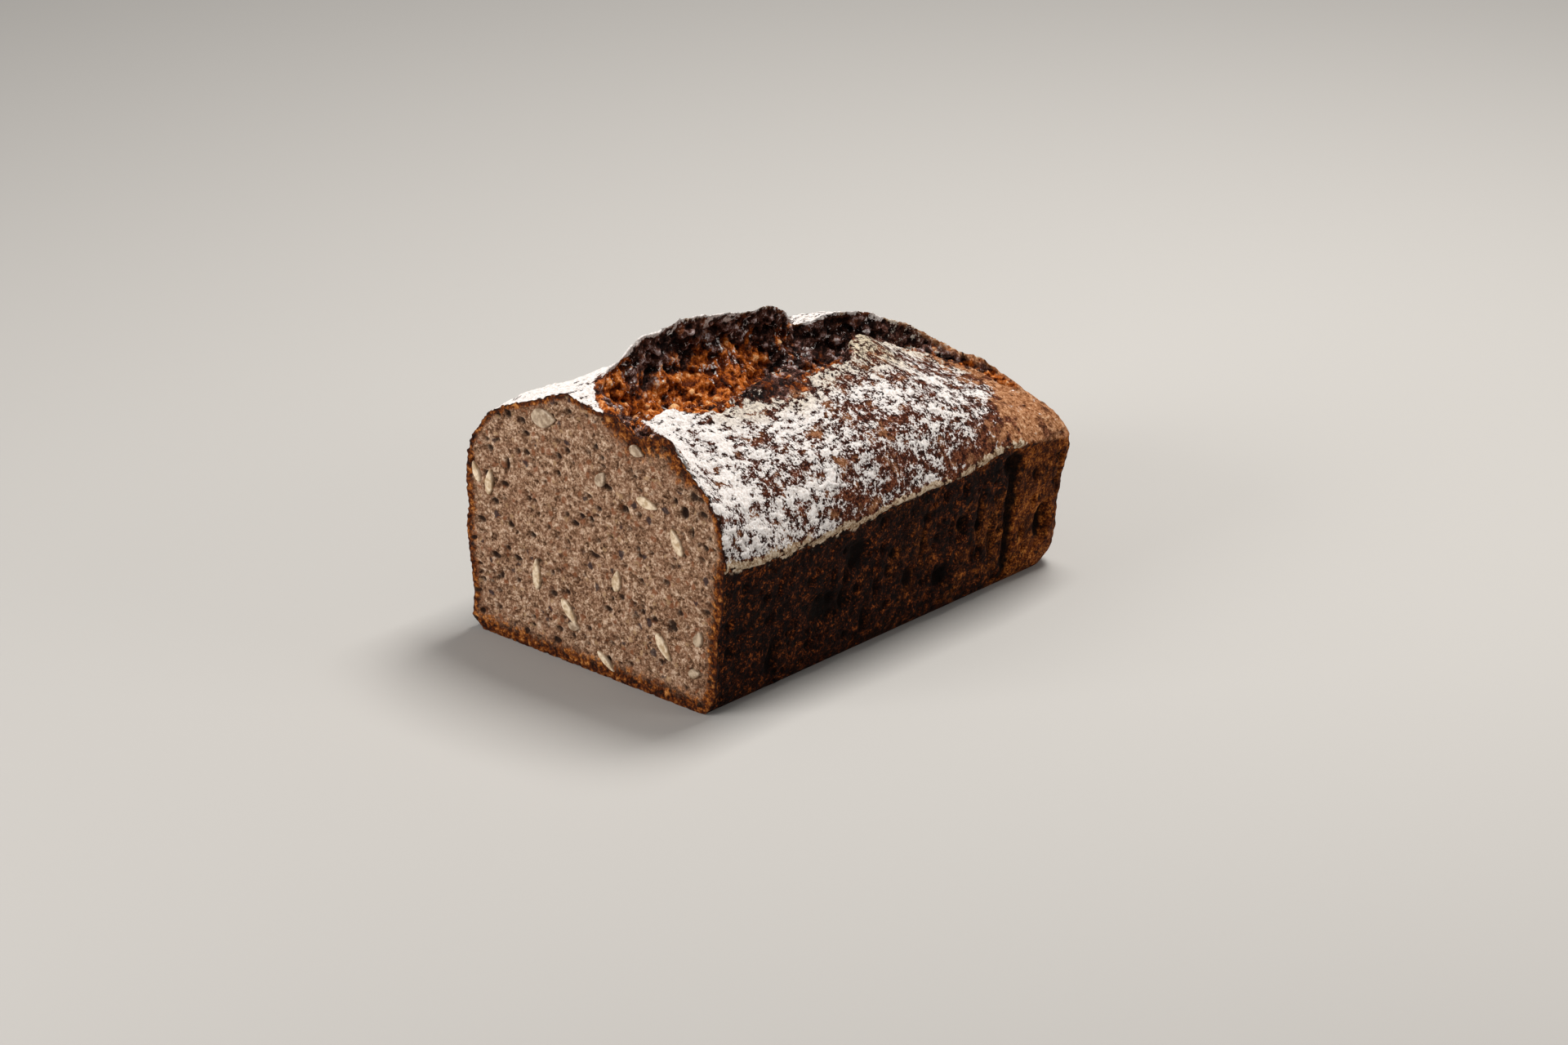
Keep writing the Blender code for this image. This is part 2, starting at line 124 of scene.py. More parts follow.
# Edges of the tear seen from above: (place s, x)
LEFT_EDGE = ((-3, 13), (0, 12), (5, 4), (10, -4), (17, -9.5), (30, -10.5), (60, -11), (90, -11),
             (105, -10), (113, -14), (120, -11), (128, -7), (138, -3), (146, 1), (154, 3.5),
             (160, 8.5), (164, 14), (165.6, 20), (166, 30), (165.6, 40), (164.8, 46), (163, 64))
RIGHT_EDGE = ((-3, 39), (0, 38), (3, 30), (8, 15.5), (16, 13), (24, 13), (31, 18), (40, 20),
              (53, 20), (62, 18), (73, 15), (79, 13), (83, 20), (86, 24), (93, 23.5), (101, 23),
              (108, 17), (115, 12), (120, 10), (126, 10), (133, 10.5), (142, 11), (150, 14),
              (156, 18), (160, 24), (162, 31), (163, 39), (164.4, 46), (166.5, 64))
# How far from an edge the tear reaches its floor: (place s, distance)
LEFT_REACH = ((0, 12), (20, 9), (45, 9), (100, 10), (125, 7), (150, 4.5), (LENGTH, 2.5))
RIGHT_REACH = ((0, 3), (40, 4), (100, 5), (125, 4), (LENGTH, 1.6))
UNDERCUT = ((0, 0), (25, 1), (45, 3.5), (95, 4), (110, 1.5), (130, 2.5), (150, 1), (LENGTH, 0))

# Marks on the right wall: (place s, height, half length, half height, depth)
RIGHT_MARKS = ((145, 25, 1.8, 23, 3.0), (145, 46.5, 3.5, 3.4, 4.2), (163, 19, 2.4, 4.6, 3.2),
               (170, 36, 1.0, 8, 1.6), (111, 15, 3.2, 3.0, 3.4), (94, 20, 2.6, 3.4, 2.2),
               (121, 31, 1.8, 3.2, 2.2), (66, 38, 3.6, 4.2, 2.6), (53, 23, 9, 5, 1.6),
               (100, 31, 1.2, 8, 1.4), (129, 33, 1.2, 9, 1.6), (136, 20, 1.3, 8, 1.2))
# Marks on the left wall, which follow the same make
LEFT_MARKS = ((22, 31, 3.0, 3.4, 2.4), (47, 18, 2.4, 3.0, 2.6), (70, 40, 1.4, 9, 1.6),
              (88, 24, 8, 5, 1.6), (109, 36, 2.6, 3.2, 2.6), (128, 28, 1.8, 17, 2.8),
              (152, 17, 2.8, 3.0, 2.6))
# Marks on the end wall: (x, height, half width, half height, depth)
END_MARKS = ((-30, 32, 1.8, 15, 2.4), (-8, 20, 3.4, 3.0, 2.4), (14, 36, 2.4, 3.2, 2.2),
             (30, 22, 7, 5, 1.4))

# Holes in the cut face: (x, height, half width, half height, depth)
HOLES = ((42.2, 68.1, 1.7, 2.1, 2.4), (46.5, 74.7, 2.1, 1.4, 2.0), (38.3, 71.2, 1.0, 1.3, 1.8),
         (14.8, 61.8, 1.2, 1.5, 1.9), (7.9, 67.3, 2.4, 1.2, 1.7), (-38.1, 63.3, 1.0, 2.6, 1.8),
         (-47.9, 69.4, 1.2, 0.9, 1.6), (-43.2, 70.6, 1.0, 0.9, 1.6), (-37.5, 81.4, 1.4, 2.2, 1.9),
         (-11.0, 52.6, 1.1, 1.2, 1.6), (1.5, 41.7, 2.8, 1.1, 1.8), (-18.0, 29.9, 1.0, 1.4, 1.5),
         (21.6, 49.8, 1.1, 1.3, 1.6), (-13.1, 15.2, 1.5, 1.0, 1.5), (31.3, 12.5, 1.2, 1.2, 1.6),
         (-43.6, 10.0, 1.6, 1.1, 1.5), (22.9, 38.9, 1.3, 1.0, 1.5), (45.7, 62.3, 0.9, 2.4, 1.8),
         (-31.1, 80.5, 2.0, 1.2, 1.8))
# Seeds in the cut face: (x, height, half length, half width, turn in degrees)
SEEDS = ((-20.4, 84.2, 4.8, 3.2, 8), (-46.4, 54.6, 4.0, 1.6, 84), (-52.5, 56.7, 3.2, 1.3, 112),
         (5.4, 69.8, 2.6, 2.0, 60), (26.2, 67.0, 4.0, 1.7, -8), (39.2, 57.1, 4.2, 1.8, 118),
         (-24.9, 27.6, 4.8, 1.6, 92), (-10.0, 18.5, 4.4, 1.6, -48), (12.1, 35.8, 3.4, 1.8, 84),
         (32.9, 18.5, 4.5, 1.7, -52), (46.7, 13.4, 2.2, 1.6, 20), (48.6, 26.1, 2.6, 1.8, 70),
         (6.7, 5.6, 4.0, 1.0, -35), (21.8, 83.9, 2.8, 1.8, -10), (-7.8, 13.8, 2.2, 1.5, 0))
SEED_RISE = 0.7
# Kernels, compared with their relief in the solid
SEED_LENGTH = 1.16
SEED_WIDTH = 1.12

# Crags: (size, depth)
TEAR_CRAGS = ((8.0, 2.6), (4.0, 1.3))
FINE_CRAGS = ((2.0, 0.6), (1.1, 0.35))
CRUST_BUMPS = ((14.0, 0.7), (6.0, 0.45))
FINE_BUMPS = ((2.6, 0.28), (1.3, 0.16))
WALL_LUMPS = ((7.0, 0.7), (2.6, 0.5))
EDGE_WANDER = 1.3
EDGE_WANDER_SIZE = 7.0

# Grids: cells across, up and along
BODY_GRID = (240, 70, 260)
STATION_DRIFT = 0.07
BODY_TRIANGLES = 192000
FACE_GRID = (280, 220)
# Cut face: how far it wraps round to the crust, how deep its slab goes, and the slab's inset
FACE_DEPTH = 0.6
SLAB_DEPTH = 3.6
SLAB_INSET = 0.015
# Pores: how many, smallest half width and its range, and depth
PORES = 1700
PORE_SIZE = (0.36, 1.0)
PORE_DEPTH = (0.4, 0.95)
NICKS = 110
# Width of the brown band of the cut face inside each side
RIND_BASE = 8.0
RIND_RIGHT = 6.0
RIND_LEFT = 4.6
RIND_TOP = 2.6
RIND_TEAR = 9.0
FLOUR_GRID = (330, 340)

# Lumps of the torn crust, and its pits where the height is below zero: (size, height)
TEAR_LUMPS = ((4.2, 1.6), (2.5, -2.0), (1.4, -0.9))
BARE_CRAG_SHARE = 0.45
# Numbers that scatter the middles of the lumps
CELL_MIX = np.array(((127.1, 269.5, 113.5), (311.7, 183.3, 271.9), (74.7, 246.1, 124.6)))

# Edge of the flour on the right flap: (place s, x)
FLOUR_EDGE = ((-3, 37), (0, 36), (3, 27), (10, 11.6), (19, 9), (24, 9.5), (30, 13.6), (33, 19.6),
              (39, 20), (46, 21.5), (57, 23.5), (62, 25), (69, 26.5), (75, 26.5), (81, 24.5),
              (88, 24), (100, 22.5), (109, 15.6), (119, 9), (126, 9), (133, 9.5),
              (142, 10), (150, 13), (156, 17), (160, 24))
# How far that edge wanders, and over what length
RAGGED = 3.2
RAGGED_SIZE = 4.5
# How much flour lies along the right flap: (place s, cover)
FLOUR_ALONG = ((0, 0.62), (40, 0.57), (60, 0.5), (100, 0.47), (130, 0.49), (150, 0.44),
               (LENGTH, 0.3))
# Where the flour ends towards the end wall: (x, place s)
FLOUR_END = ((-60, 162), (0, 160), (10, 148), (20, 154), (38, 156), (45, 148), (51, 139), (56, 131), (62, 129))
TAN_START = 145
# The same along the left flap
FLOUR_LEFT = ((0, 0.98), (50, 0.92), (90, 0.76), (130, 0.66), (LENGTH, 0.5))
FLOUR_TIP = 0.26
FLOUR_BY_EDGE = 0.16
FLOUR_CLUMPS = ((7.5, 0.36), (2.8, 0.44), (1.3, 0.4))
FLOUR_STRETCH = 0.6
FLOUR_SHEET = (0.24, 1.3, 0.34)

# Camera, in millimetres on the loaf and degrees
CAMERA_PLACE = (1062.7, -1065.9, 682.2)
CAMERA_TURN = 42.5
CAMERA_DROP = 22.7
LENS = 115.0


def along(stations, place):
    """Smooth curve through (place, value) pairs, read at each place."""
    spot, value = np.array(stations, float).T
    slope = np.gradient(value, spot)
    first = np.clip(np.searchsorted(spot, place) - 1, 0, len(spot) - 2)
    width = spot[first + 1] - spot[first]
    t = np.clip((place - spot[first]) / width, 0, 1)
    start = (1 + 2 * t) * (1 - t) ** 2 * value[first] + t * (1 - t) ** 2 * width * slope[first]
    end = t * t * (3 - 2 * t) * value[first + 1] - t * t * (1 - t) * width * slope[first + 1]
    return start + end


def smooth_step(t):
    """Even rise from 0 to 1 while t goes from 0 to 1."""
    t = np.clip(t, 0, 1)
    return t * t * (3 - 2 * t)


def fade(value, start, end):
    """Even change from 0 to 1 while a value goes from start to end."""
    return smooth_step((value - start) / (end - start))


def side_distance(line, x, s):
    """Distance to a line of (s, x) points in plan, positive on its right."""
    points = np.array(line, float)
    start, end = points[:-1], points[1:]
    step = end - start
    ds = s[..., None] - start[:, 0]
    dx = x[..., None] - start[:, 1]
    t = np.clip((ds * step[:, 0] + dx * step[:, 1]) / (step ** 2).sum(axis=1), 0, 1)
    gap = np.hypot(ds - t * step[:, 0], dx - t * step[:, 1])
    nearest = gap.argmin(axis=-1)[..., None]
    side = np.take_along_axis(dx * step[:, 0] - ds * step[:, 1], nearest, -1)[..., 0]
    return np.take_along_axis(gap, nearest, -1)[..., 0] * np.where(side < 0, -1, 1)


def swirl(points, size, seed):
    """Noise vector at each point, in crags of the given size."""
    shift = Vector((seed * 31.7, seed * 11.3, seed * 7.9))
    return np.array([noise.noise_vector(Vector(p) / size + shift) for p in points]).reshape(-1, 3)


def scatter(cells, seed):
    """Random place in each whole-numbered cell, the same at every call."""
    mixed = np.sin(cells @ CELL_MIX + seed) * 43758.5453
    return mixed - np.floor(mixed)


def lumps(points, size, seed):
    """Rounded lumps: 0 in the creases between them and 1 on their tops."""
    spot = points / size
    cell = np.floor(spot)
    nearest = np.full(len(points), 9.0)
    for step in np.ndindex(3, 3, 3):
        corner = cell + np.array(step) - 1
        nearest = np.minimum(nearest, ((corner + scatter(corner, seed) - spot) ** 2).sum(axis=1))
    return 1 - np.clip(np.sqrt(nearest), 0, 1)


def shoulder(u):
    """Rise of the dome inside the rim, from 0 to 1: a steep start, then an even slope."""
    u = np.clip(u, 0, 1)
    return (1 - STEEP_SHARE) * u + STEEP_SHARE * (1 - (1 - u) ** STEEP_POWER)


def rim_right(s):
    """Height and place of the rim on the right."""
    height = along(RIGHT_RIM, s)
    return height, along(RIGHT_WALL, height) + LEDGE_DEPTH * fade(s, *LEDGE_FADES)


def rim_left(s):
    """Height and place of the rim on the left."""
    height = along(LEFT_RIM, s)
    return height, along(LEFT_WALL, height)


def left_surface(x, s):
    """Outer surface of the left flap and of the end shoulder."""
    left_height, left_place = rim_left(s)
    right_height, right_place = rim_right(s)
    share = (x - left_place) / (right_place - left_place)
    rim = left_height + (right_height - left_height) * share
    ridge = along(RIDGE_PLACE, s)
    from_side = np.minimum((x - left_place) / (ridge - left_place), (right_place - x) / RIGHT_SHOULDER)
    from_end = (LENGTH - s) / REAR_SHOULDER
    fall = RIDGE_FALL * np.clip(x - ridge, 0, FALL_REACH) * fade(s, *FALL_FADES)
    top = along(RIDGE_HEIGHT, s) - along(LEFT_LIFT, s)
    return rim + (top - rim) * shoulder(from_side) * shoulder(from_end) - fall


def right_surface(x, s):
    """Outer surface of the right flap."""
    height, place = rim_right(s)
    reach = (place - x) / (place - along(RIGHT_FLAP_PLACE, s))
    return height + (along(RIGHT_FLAP_HEIGHT, s) - height) * shoulder(reach)


def top_surface(x, s):
    """Place across and height of the top, with the tear, at plan position x, s."""
    flat = np.stack([x, s, np.zeros_like(x)], axis=-1).reshape(-1, 3)
    wander = swirl(flat, EDGE_WANDER_SIZE, 1).reshape(x.shape + (3,)) * EDGE_WANDER
    from_left = side_distance(LEFT_EDGE, x + wander[..., 0], s + wander[..., 1])
    from_right = -side_distance(RIGHT_EDGE, x + wander[..., 1], s + wander[..., 2])
    join = JOIN_WIDTH + (WIDE_JOIN - JOIN_WIDTH) * fade(x, *JOIN_WIDENS)
    open_share = fade(x, *TEAR_CLOSES)
    right_share = smooth_step((from_left - from_right) / (2 * join) + 0.5)
    lip, width = LEFT_LIP
    left = left_surface(x, s) + lip * np.exp(-np.abs(from_left) / width) * fade(x, *LEFT_LIP_FADES)
    left = left + along(LEFT_LIFT, s) * np.exp(-np.clip(-from_left, 0, None) / LIFT_REACH)
    lip, width = RIGHT_LIP
    lip = lip + TIP_RISE * fade(s, *TIP_FADES)
    right = right_surface(x, s) + lip * np.exp(-np.abs(from_right) / width) * fade(x, *RIGHT_LIP_FADES)
    outside = left + (right - left) * right_share
    floor = along(FLOOR_HEIGHT, s) + FLOOR_RISE * smooth_step(right_share)
    wall_left = np.clip(1 - from_left / along(LEFT_REACH, s), 0, 1) ** TEAR_HOLLOW
    wall_right = np.clip(1 - from_right / along(RIGHT_REACH, s), 0, 1) ** TEAR_HOLLOW
    inside = floor + np.maximum((left - floor) * wall_left, (right - floor) * wall_right)
    torn = (from_left > 0) & (from_right > 0)
    height = outside + np.where(torn, np.minimum(inside - outside, 0) * open_share, 0)
    place = x - np.where(torn, along(UNDERCUT, s) * 4 * wall_left * (1 - wall_left), 0)
    deep_enough = smooth_step(np.minimum(from_left, from_right) / ROUGH_EDGE) * open_share
    return place, height, np.where(torn, deep_enough, 0)


def even_points(line, count, weight=None):
    """The same line, read at even steps along it, or closer where the weight is high."""
    step = np.hypot(np.diff(line[:, 0]), np.diff(line[:, 1]))
    if weight is not None:
        step = step * (weight[1:] + weight[:-1]) / 2
    run = np.concatenate([[0], np.cumsum(step)])
    steps = np.linspace(0, run[-1], count + 1)
    return np.stack([np.interp(steps, run, column) for column in line.T], axis=-1)


def wall_points(wall, height, ledge, up):
    """Wall of one section, from the base up to the rim: (x, z, 0)."""
    z = np.linspace(0, height, 4 * up)
    x = along(wall, z) + ledge * smooth_step((z - height + LEDGE_HEIGHT) / LEDGE_STEP)
    return even_points(np.stack([x, z, 0 * z], axis=-1), up)


def sections(places, across, up):
    """Points round each section: left wall, top, right wall and base."""
    left, top, right, base = [], [], [], []
    for s in places:
        left_height, left_place = rim_left(s)
        right_height, right_place = rim_right(s)
        x = np.linspace(left_place, right_place, 3 * across)
        line = np.stack(top_surface(x, np.full_like(x, s)), axis=-1)
        left.append(wall_points(LEFT_WALL, left_height, 0, up))
        right.append(wall_points(RIGHT_WALL, right_height, LEDGE_DEPTH * fade(s, *LEDGE_FADES), up))
        line[0, :2] = left[-1][-1, :2]
        line[-1, :2] = right[-1][-1, :2]
        top.append(even_points(line, across, 1 + 0.7 * line[:, 2]))
        base.append(even_points(np.stack([left[-1][0], right[-1][0]]), across))
    return [np.array(part) for part in (left, top, right, base)]


def cap_points(parts, station, across_share, up_share):
    """Points inside one section, blended between its four sides."""
    def read(side, share):
        spot = share * (len(side) - 1)
        return np.stack([np.interp(spot, np.arange(len(side)), column) for column in side.T], axis=-1)

    left, top, right, base = (part[station] for part in parts)
    a, c = np.meshgrid(across_share, up_share, indexing="ij")
    a, c = a[..., None], c[..., None]
    sides = (1 - a) * read(left, up_share)[None] + a * read(right, up_share)[None]
    caps = (1 - c) * read(base, across_share)[:, None] + c * read(top, across_share)[:, None]
    corners = (1 - a) * (1 - c) * left[0] + a * (1 - c) * right[0] + (1 - a) * c * left[-1] + a * c * right[-1]
    return sides + caps - corners


def marks(first, second, table):
    """Depth of the round and long marks at each point of a wall."""
    depth = np.zeros_like(first)
    for place, height, half_length, half_height, deep in table:
        off = ((first - place) / half_length) ** 2 + np.abs((second - height) / half_height) ** 3
        depth = np.maximum(depth, deep * np.exp(-off * MARK_EDGE))
    return depth


def crags(points, share, table, seed):
    """Push on each point by noise of the sizes and depths in a table, scaled by its share."""
    push = np.zeros_like(points)
    chosen = share > 0
    for number, (size, depth) in enumerate(table, seed):
        push[chosen] += swirl(points[chosen], size, number) * depth * share[chosen, None]
    return push


def dents(x, s, z, on_end):
    """Depth of the marks and of the fine lumps and nicks of each wall: across, and along the loaf."""
    on_side = np.where(on_end, 0, fade(np.abs(x), 42, 48) * smooth_step(s / 1.5))
    below = fade(z, 51, 46) * smooth_step(z / STILL_BASE)
    across = np.where(x > 0, marks(s, z, RIGHT_MARKS), marks(s, z, LEFT_MARKS)) * fade(z, *RIGHT_MARKS_FADE)
    ending = marks(x, z, END_MARKS)
    walls = (on_side + on_end) * below > 0
    points = np.stack([x, s, z], axis=-1)[walls]
    for seed, (size, depth) in enumerate(WALL_LUMPS, 31):
        low = (1 - lumps(points, size, seed)) * depth
        across[walls] += low
        ending[walls] += low
    across += pressed(np.where(x > 0, s, LENGTH - s), z, nicks(3)) * fade(z, 51, 46)
    ending += pressed(x + LENGTH / 2, z, nicks(4))
    still = smooth_step(z / STILL_BASE)
    return across * on_side * still, ending * on_end * below


def relief(x, s, z, torn, on_end):
    """Round the end's corners and push every point of the crust by its crags and marks."""
    short = np.clip(END_CORNER - (LENGTH - s), 0, END_CORNER)
    x = x * (1 - (END_CORNER - np.sqrt(END_CORNER ** 2 - short ** 2)) / HALF_WIDTH)
    s = s - fade(s, *END_LEANS) * along(END_WALL, z)
    whole = (1 - torn) * smooth_step(z / STILL_BASE)
    points = np.stack([x, s, z], axis=-1)
    push = crags(points, torn, TEAR_CRAGS, 2) + crags(points, whole, CRUST_BUMPS, 5)
    moved = points + push
    push += crags(moved, torn, FINE_CRAGS, 8) + crags(moved, whole, FINE_BUMPS, 11)
    across, ending = dents(x, s, z, on_end)
    push[:, 0] -= np.sign(x) * across
    push[:, 1] -= ending
    push[:, 2] = np.where(z < 0.01, 0, push[:, 2])
    push[:, 1] *= smooth_step(s / 1.5)
    return points + push


def grid_faces(rows, columns):
    """Quads of a grid whose points are numbered row by row."""
    number = np.arange(rows * columns).reshape(rows, columns)
    return np.stack([number[:-1, :-1], number[1:, :-1], number[1:, 1:], number[:-1, 1:]], axis=-1).reshape(-1, 4)


def make_mesh(name, points, faces, values):
    """Mesh in the frame from millimetre points on the loaf, with a value on each point."""
    mesh = bpy.data.meshes.new(name)
    placed = (points - np.array([MIDDLE_X, MIDDLE_S, 0])) * MM
    mesh.from_pydata(placed.tolist(), [], faces.tolist())
    for label, value in values.items():
        layer = mesh.attributes.new(label, "FLOAT", "POINT")
        layer.data.foreach_set("value", np.asarray(value, np.float32))
    mesh.update()
    return mesh


def weld(mesh, distance):
    """Join the points that lie on each other."""
    work = bmesh.new()
    work.from_mesh(mesh)
    bmesh.ops.remove_doubles(work, verts=work.verts, dist=distance)
    bmesh.ops.recalc_face_normals(work, faces=work.faces)
    work.to_mesh(mesh)
    work.free()


def thinned(mesh, triangles):
    """The same mesh with fewer triangles, taken first where it is flat."""
    dense = bpy.data.objects.new("dense", mesh)
    bpy.context.scene.collection.objects.link(dense)
    thin = dense.modifiers.new("thin", "DECIMATE")
    thin.ratio = triangles / (2 * len(mesh.polygons))
    graph = bpy.context.evaluated_depsgraph_get()
    result = bpy.data.meshes.new_from_object(dense.evaluated_get(graph))
    name = mesh.name
    bpy.data.objects.remove(dense)
    bpy.data.meshes.remove(mesh)
    result.name = name
    return result


def show(mesh, material):
    """Object for a finished mesh, riding on the body and standing for the solid."""
    piece = bpy.data.objects.new(mesh.name, mesh)
    bpy.context.scene.collection.objects.link(piece)
    mesh.materials.clear()
    mesh.materials.append(material)
    mesh.shade_smooth()
    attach(piece, "root")
    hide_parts("loaf")
    return piece


def flour_side(x, s):
    """Distance to the ragged edge of the flour on the right flap, positive in the flour."""
    wander = np.array([noise.noise(Vector((a, b, 0)) / RAGGED_SIZE) for a, b in zip(x, s)])
    return side_distance(FLOUR_EDGE, x, s) + RAGGED * wander * fade(s, 26, 40)


def bare_share(x, s):
    """Share of bare crags between the tear and the flour on the right flap."""
    from_edge = side_distance(RIGHT_EDGE, x, s)
    from_flour = flour_side(x, s)
    return fade(from_edge, -1, 0.5) * fade(from_flour, 1, -1) * fade(s, 30, 38)


def left_tip(x, s):
    """Share of bare, amber crust along the tear at the left flap's front."""
    from_left = side_distance(LEFT_EDGE, x, s)
    return fade(from_left, -2.8, -1.4) * fade(from_left, 3, 2) * fade(s, 22, 9)


def flour_density(x, s, z, torn):
    """How much flour lies at each point: 0 is bare, and 1 covers all."""
    within = np.clip(s, 0, LENGTH)
    from_left = side_distance(LEFT_EDGE, x, s)
    from_flour = flour_side(x, s)
    above_rim = z - along(RIGHT_RIM, within)
    right = along(FLOUR_ALONG, within) + FLOUR_TIP * fade(from_flour, 14, 7) * fade(s, 38, 28)
    right = right + FLOUR_BY_EDGE * fade(from_flour, 9, 4) * fade(s, 30, 40)
    reach = 3 + 8 * fade(s, 35, 55)
    least = 0.9 - 0.35 * fade(s, 25, 45)
    right = right * (least + (1 - least) * fade(above_rim, 1.5, 1.5 + reach)) * fade(above_rim, 0.6, 1.6)
    right = right * fade(from_flour, -0.6, 0.8)
    left = along(FLOUR_LEFT, within) * (0.5 + 0.5 * fade(z - along(LEFT_RIM, within), 4, 22))
    left = left * fade(z - along(LEFT_RIM, within), 0, 6) * (1 - left_tip(x, s))
    on_left = (from_left < 0.5) & (x < 30)
    ends = fade(s - along(FLOUR_END, x), 6, -6 - 12 * fade(x, 10, -5))
    return np.where(on_left, left, right) * ends * (1 - torn)


def flour_cover(x, s, z, torn):
    """How far each point is inside the flour, with the clumps that it lies in."""
    spread = np.stack([x, s * FLOUR_STRETCH, z], axis=-1)
    clump = np.zeros_like(x)
    for size, share in FLOUR_CLUMPS:
        clump += share * np.array([noise.noise(Vector(p) / size) for p in spread])
    return flour_density(x, s, z, torn) - 0.5 - clump


def cream_share(x, s):
    """Share of old, cream flour: on the right flap's peak and by the bare crags."""
    peak = fade(s, 98, 107) * fade(s, 134, 122) * fade(x, 36, 20)
    rim = fade(flour_side(x, s), 11, 3) * fade(s, 30, 42) * 0.6
    return np.maximum(peak, rim) * (x > 0)


def crust_values(x, s, z, torn, lump):
    """Values on the crust's points that its finish reads."""
    within = np.clip(s, 0, LENGTH)
    rim = np.where(x > 0, along(RIGHT_RIM, within), along(LEFT_RIM, within))
    bare = bare_share(x, s) * fade(z, rim + 2, rim + 5)
    from_left = side_distance(LEFT_EDGE, x, s)
    values = {"torn": fade(np.maximum(torn, bare), 0.02, 0.3), "lump": lump}
    values["torn"] = np.maximum(values["torn"], left_tip(x, s) * fade(z, rim, rim + 4))
    values["upper"] = fade(z, rim - 0.8, rim + 0.8)
    values["warm"] = fade(s, 40, 170) * 0.55 + fade(s, 145, 149) * 0.4 + fade(s, 5, 0) * 0.5 - 0.12
    values["tan"] = fade(s - np.maximum(along(FLOUR_END, x), TAN_START), -12, 8)
    char = fade(z, 84, 95) * fade(s, 22, 36)
    char = np.maximum(char, fade(s, 84, 98) * 0.72 + fade(s, 112, 126) * 0.28)
    char = np.where(x > 8, np.maximum(char * 0.85, fade(s, 42, 50) * 0.82), char)
    # The share added towards the front of the tear, under s 26, is painted shade of the tear's deep front, laid on as
    # burnt colour.
    char = char * (1 - 0.6 * fade(x, 14, 26) * fade(s, 140, 150)) + 0.5 * fade(s, 26, 12)
    values["char"] = char * np.maximum(fade(z, 66, 74), fade(s, 100, 112))
    wide = 2.5 - 1.2 * fade(s, 20, 100)
    values["ledge"] = np.exp(-((z - rim + 0.3) / wide) ** 2) * fade(x, 40, 50) * fade(s, 153, 146)
    edge = np.exp(-((from_left + 0.5) / 0.7) ** 2) * fade(x, 44, 38) * fade(z, rim, rim + 5)
    values["edge"] = edge * (1 - values["torn"]) ** 3
    values["cream"] = cream_share(x, s)
    on_end = s > LENGTH - 3
    across, ending = dents(x, s, z, on_end)
    # Depth of the marks, which the crust's finish turns into painted shade.
    values["mark"] = np.maximum(across, ending) / 3
    values["dust"] = np.where(values["upper"] > 0.5, flour_cover(x, s, z, values["torn"]), -1)
    return values


def grid_normals(points, rows, columns):
    """Direction straight out of a grid of points at each of them."""
    grid = points.reshape(rows, columns, 3)
    normal = np.cross(np.gradient(grid, axis=1), np.gradient(grid, axis=0)).reshape(-1, 3)
    return normal / np.linalg.norm(normal, axis=1)[:, None]


def craggy_top(x, s, z, torn, rows, columns):
    """Top of the loaf with its lumps where it is torn: points, and how high each is on its lump."""
    bare = bare_share(x, s) * fade(z, along(RIGHT_RIM, s) + 2, along(RIGHT_RIM, s) + 5)
    points = relief(x, s, z, np.maximum(torn, bare * BARE_CRAG_SHARE), np.zeros(len(x), bool))
    out = grid_normals(points, rows, columns)
    rough = np.maximum(np.maximum(torn, bare), left_tip(x, s) * 0.5)
    share = rough * fade(s, FACE_DEPTH, FACE_DEPTH + 2.5)
    height = np.zeros(len(x))
    total = sum(abs(high) for _, high in TEAR_LUMPS)
    for seed, (size, high) in enumerate(TEAR_LUMPS, 40):
        height += (lumps(points, size, seed) - 0.45) * high
    return points + out * (height * share)[:, None], height / total + 0.5


def body_mesh():
    """Closed body of the loaf: walls, top, base, end wall and a plain front."""
    across, up, length = BODY_GRID
    share = np.linspace(0, 1, length + 1)
    places = FACE_DEPTH + (LENGTH - FACE_DEPTH) * (share + STATION_DRIFT * np.sin(np.pi * share) * share)
    parts = sections(places, across, up)
    sheets = []
    for side in parts:
        x, z, torn = side.reshape(-1, 3).T
        sheets.append((x, np.repeat(places, side.shape[1]), z, torn, False, length + 1, side.shape[1]))
    across_share, up_share = np.linspace(0, 1, across + 1), np.linspace(0, 1, up + 1)
    for station in (0, length):
        cap = cap_points(parts, station, across_share, up_share)
        x, z, torn = cap.reshape(-1, 3).T
        inside = np.minimum.outer(np.minimum(across_share, 1 - across_share), np.minimum(up_share, 1 - up_share))
        recess = (SLAB_DEPTH + 0.3 - FACE_DEPTH) * smooth_step(inside.ravel() / 0.02) * (station == 0)
        sheets.append((x, places[station] + recess, z, torn, station > 0, across + 1, up + 1))
    points, faces, values, start = [], [], [], 0
    for number, (x, s, z, torn, on_end, rows, columns) in enumerate(sheets):
        lump = np.full(len(x), 0.5)
        if number == 1:
            placed, lump = craggy_top(x, s, z, torn, rows, columns)
        else:
            placed = relief(x, s, z, torn, np.full(len(x), on_end))
        points.append(placed)
        values.append(crust_values(x, s, z, torn, lump))
        faces.append(grid_faces(rows, columns) + start)
        start += len(x)
    joined = {label: np.concatenate([value[label] for value in values]) for label in values[0]}
    return make_mesh("crust", np.concatenate(points), np.concatenate(faces), joined)


def nicks(seed):
    """Scattered nicks of a wall: (place, height, half length, half height, depth)."""
    rand = random.Random(seed)
    found = []
    for _ in range(NICKS):
        size = 0.7 + 1.3 * rand.random() ** 2
        tall = size * rand.uniform(0.8, 1.4) * (3 if rand.random() < 0.2 else 1)
        found.append((rand.uniform(4, LENGTH - 4), rand.uniform(3, 48), size, tall, 0.5 + 0.6 * size))
    return found


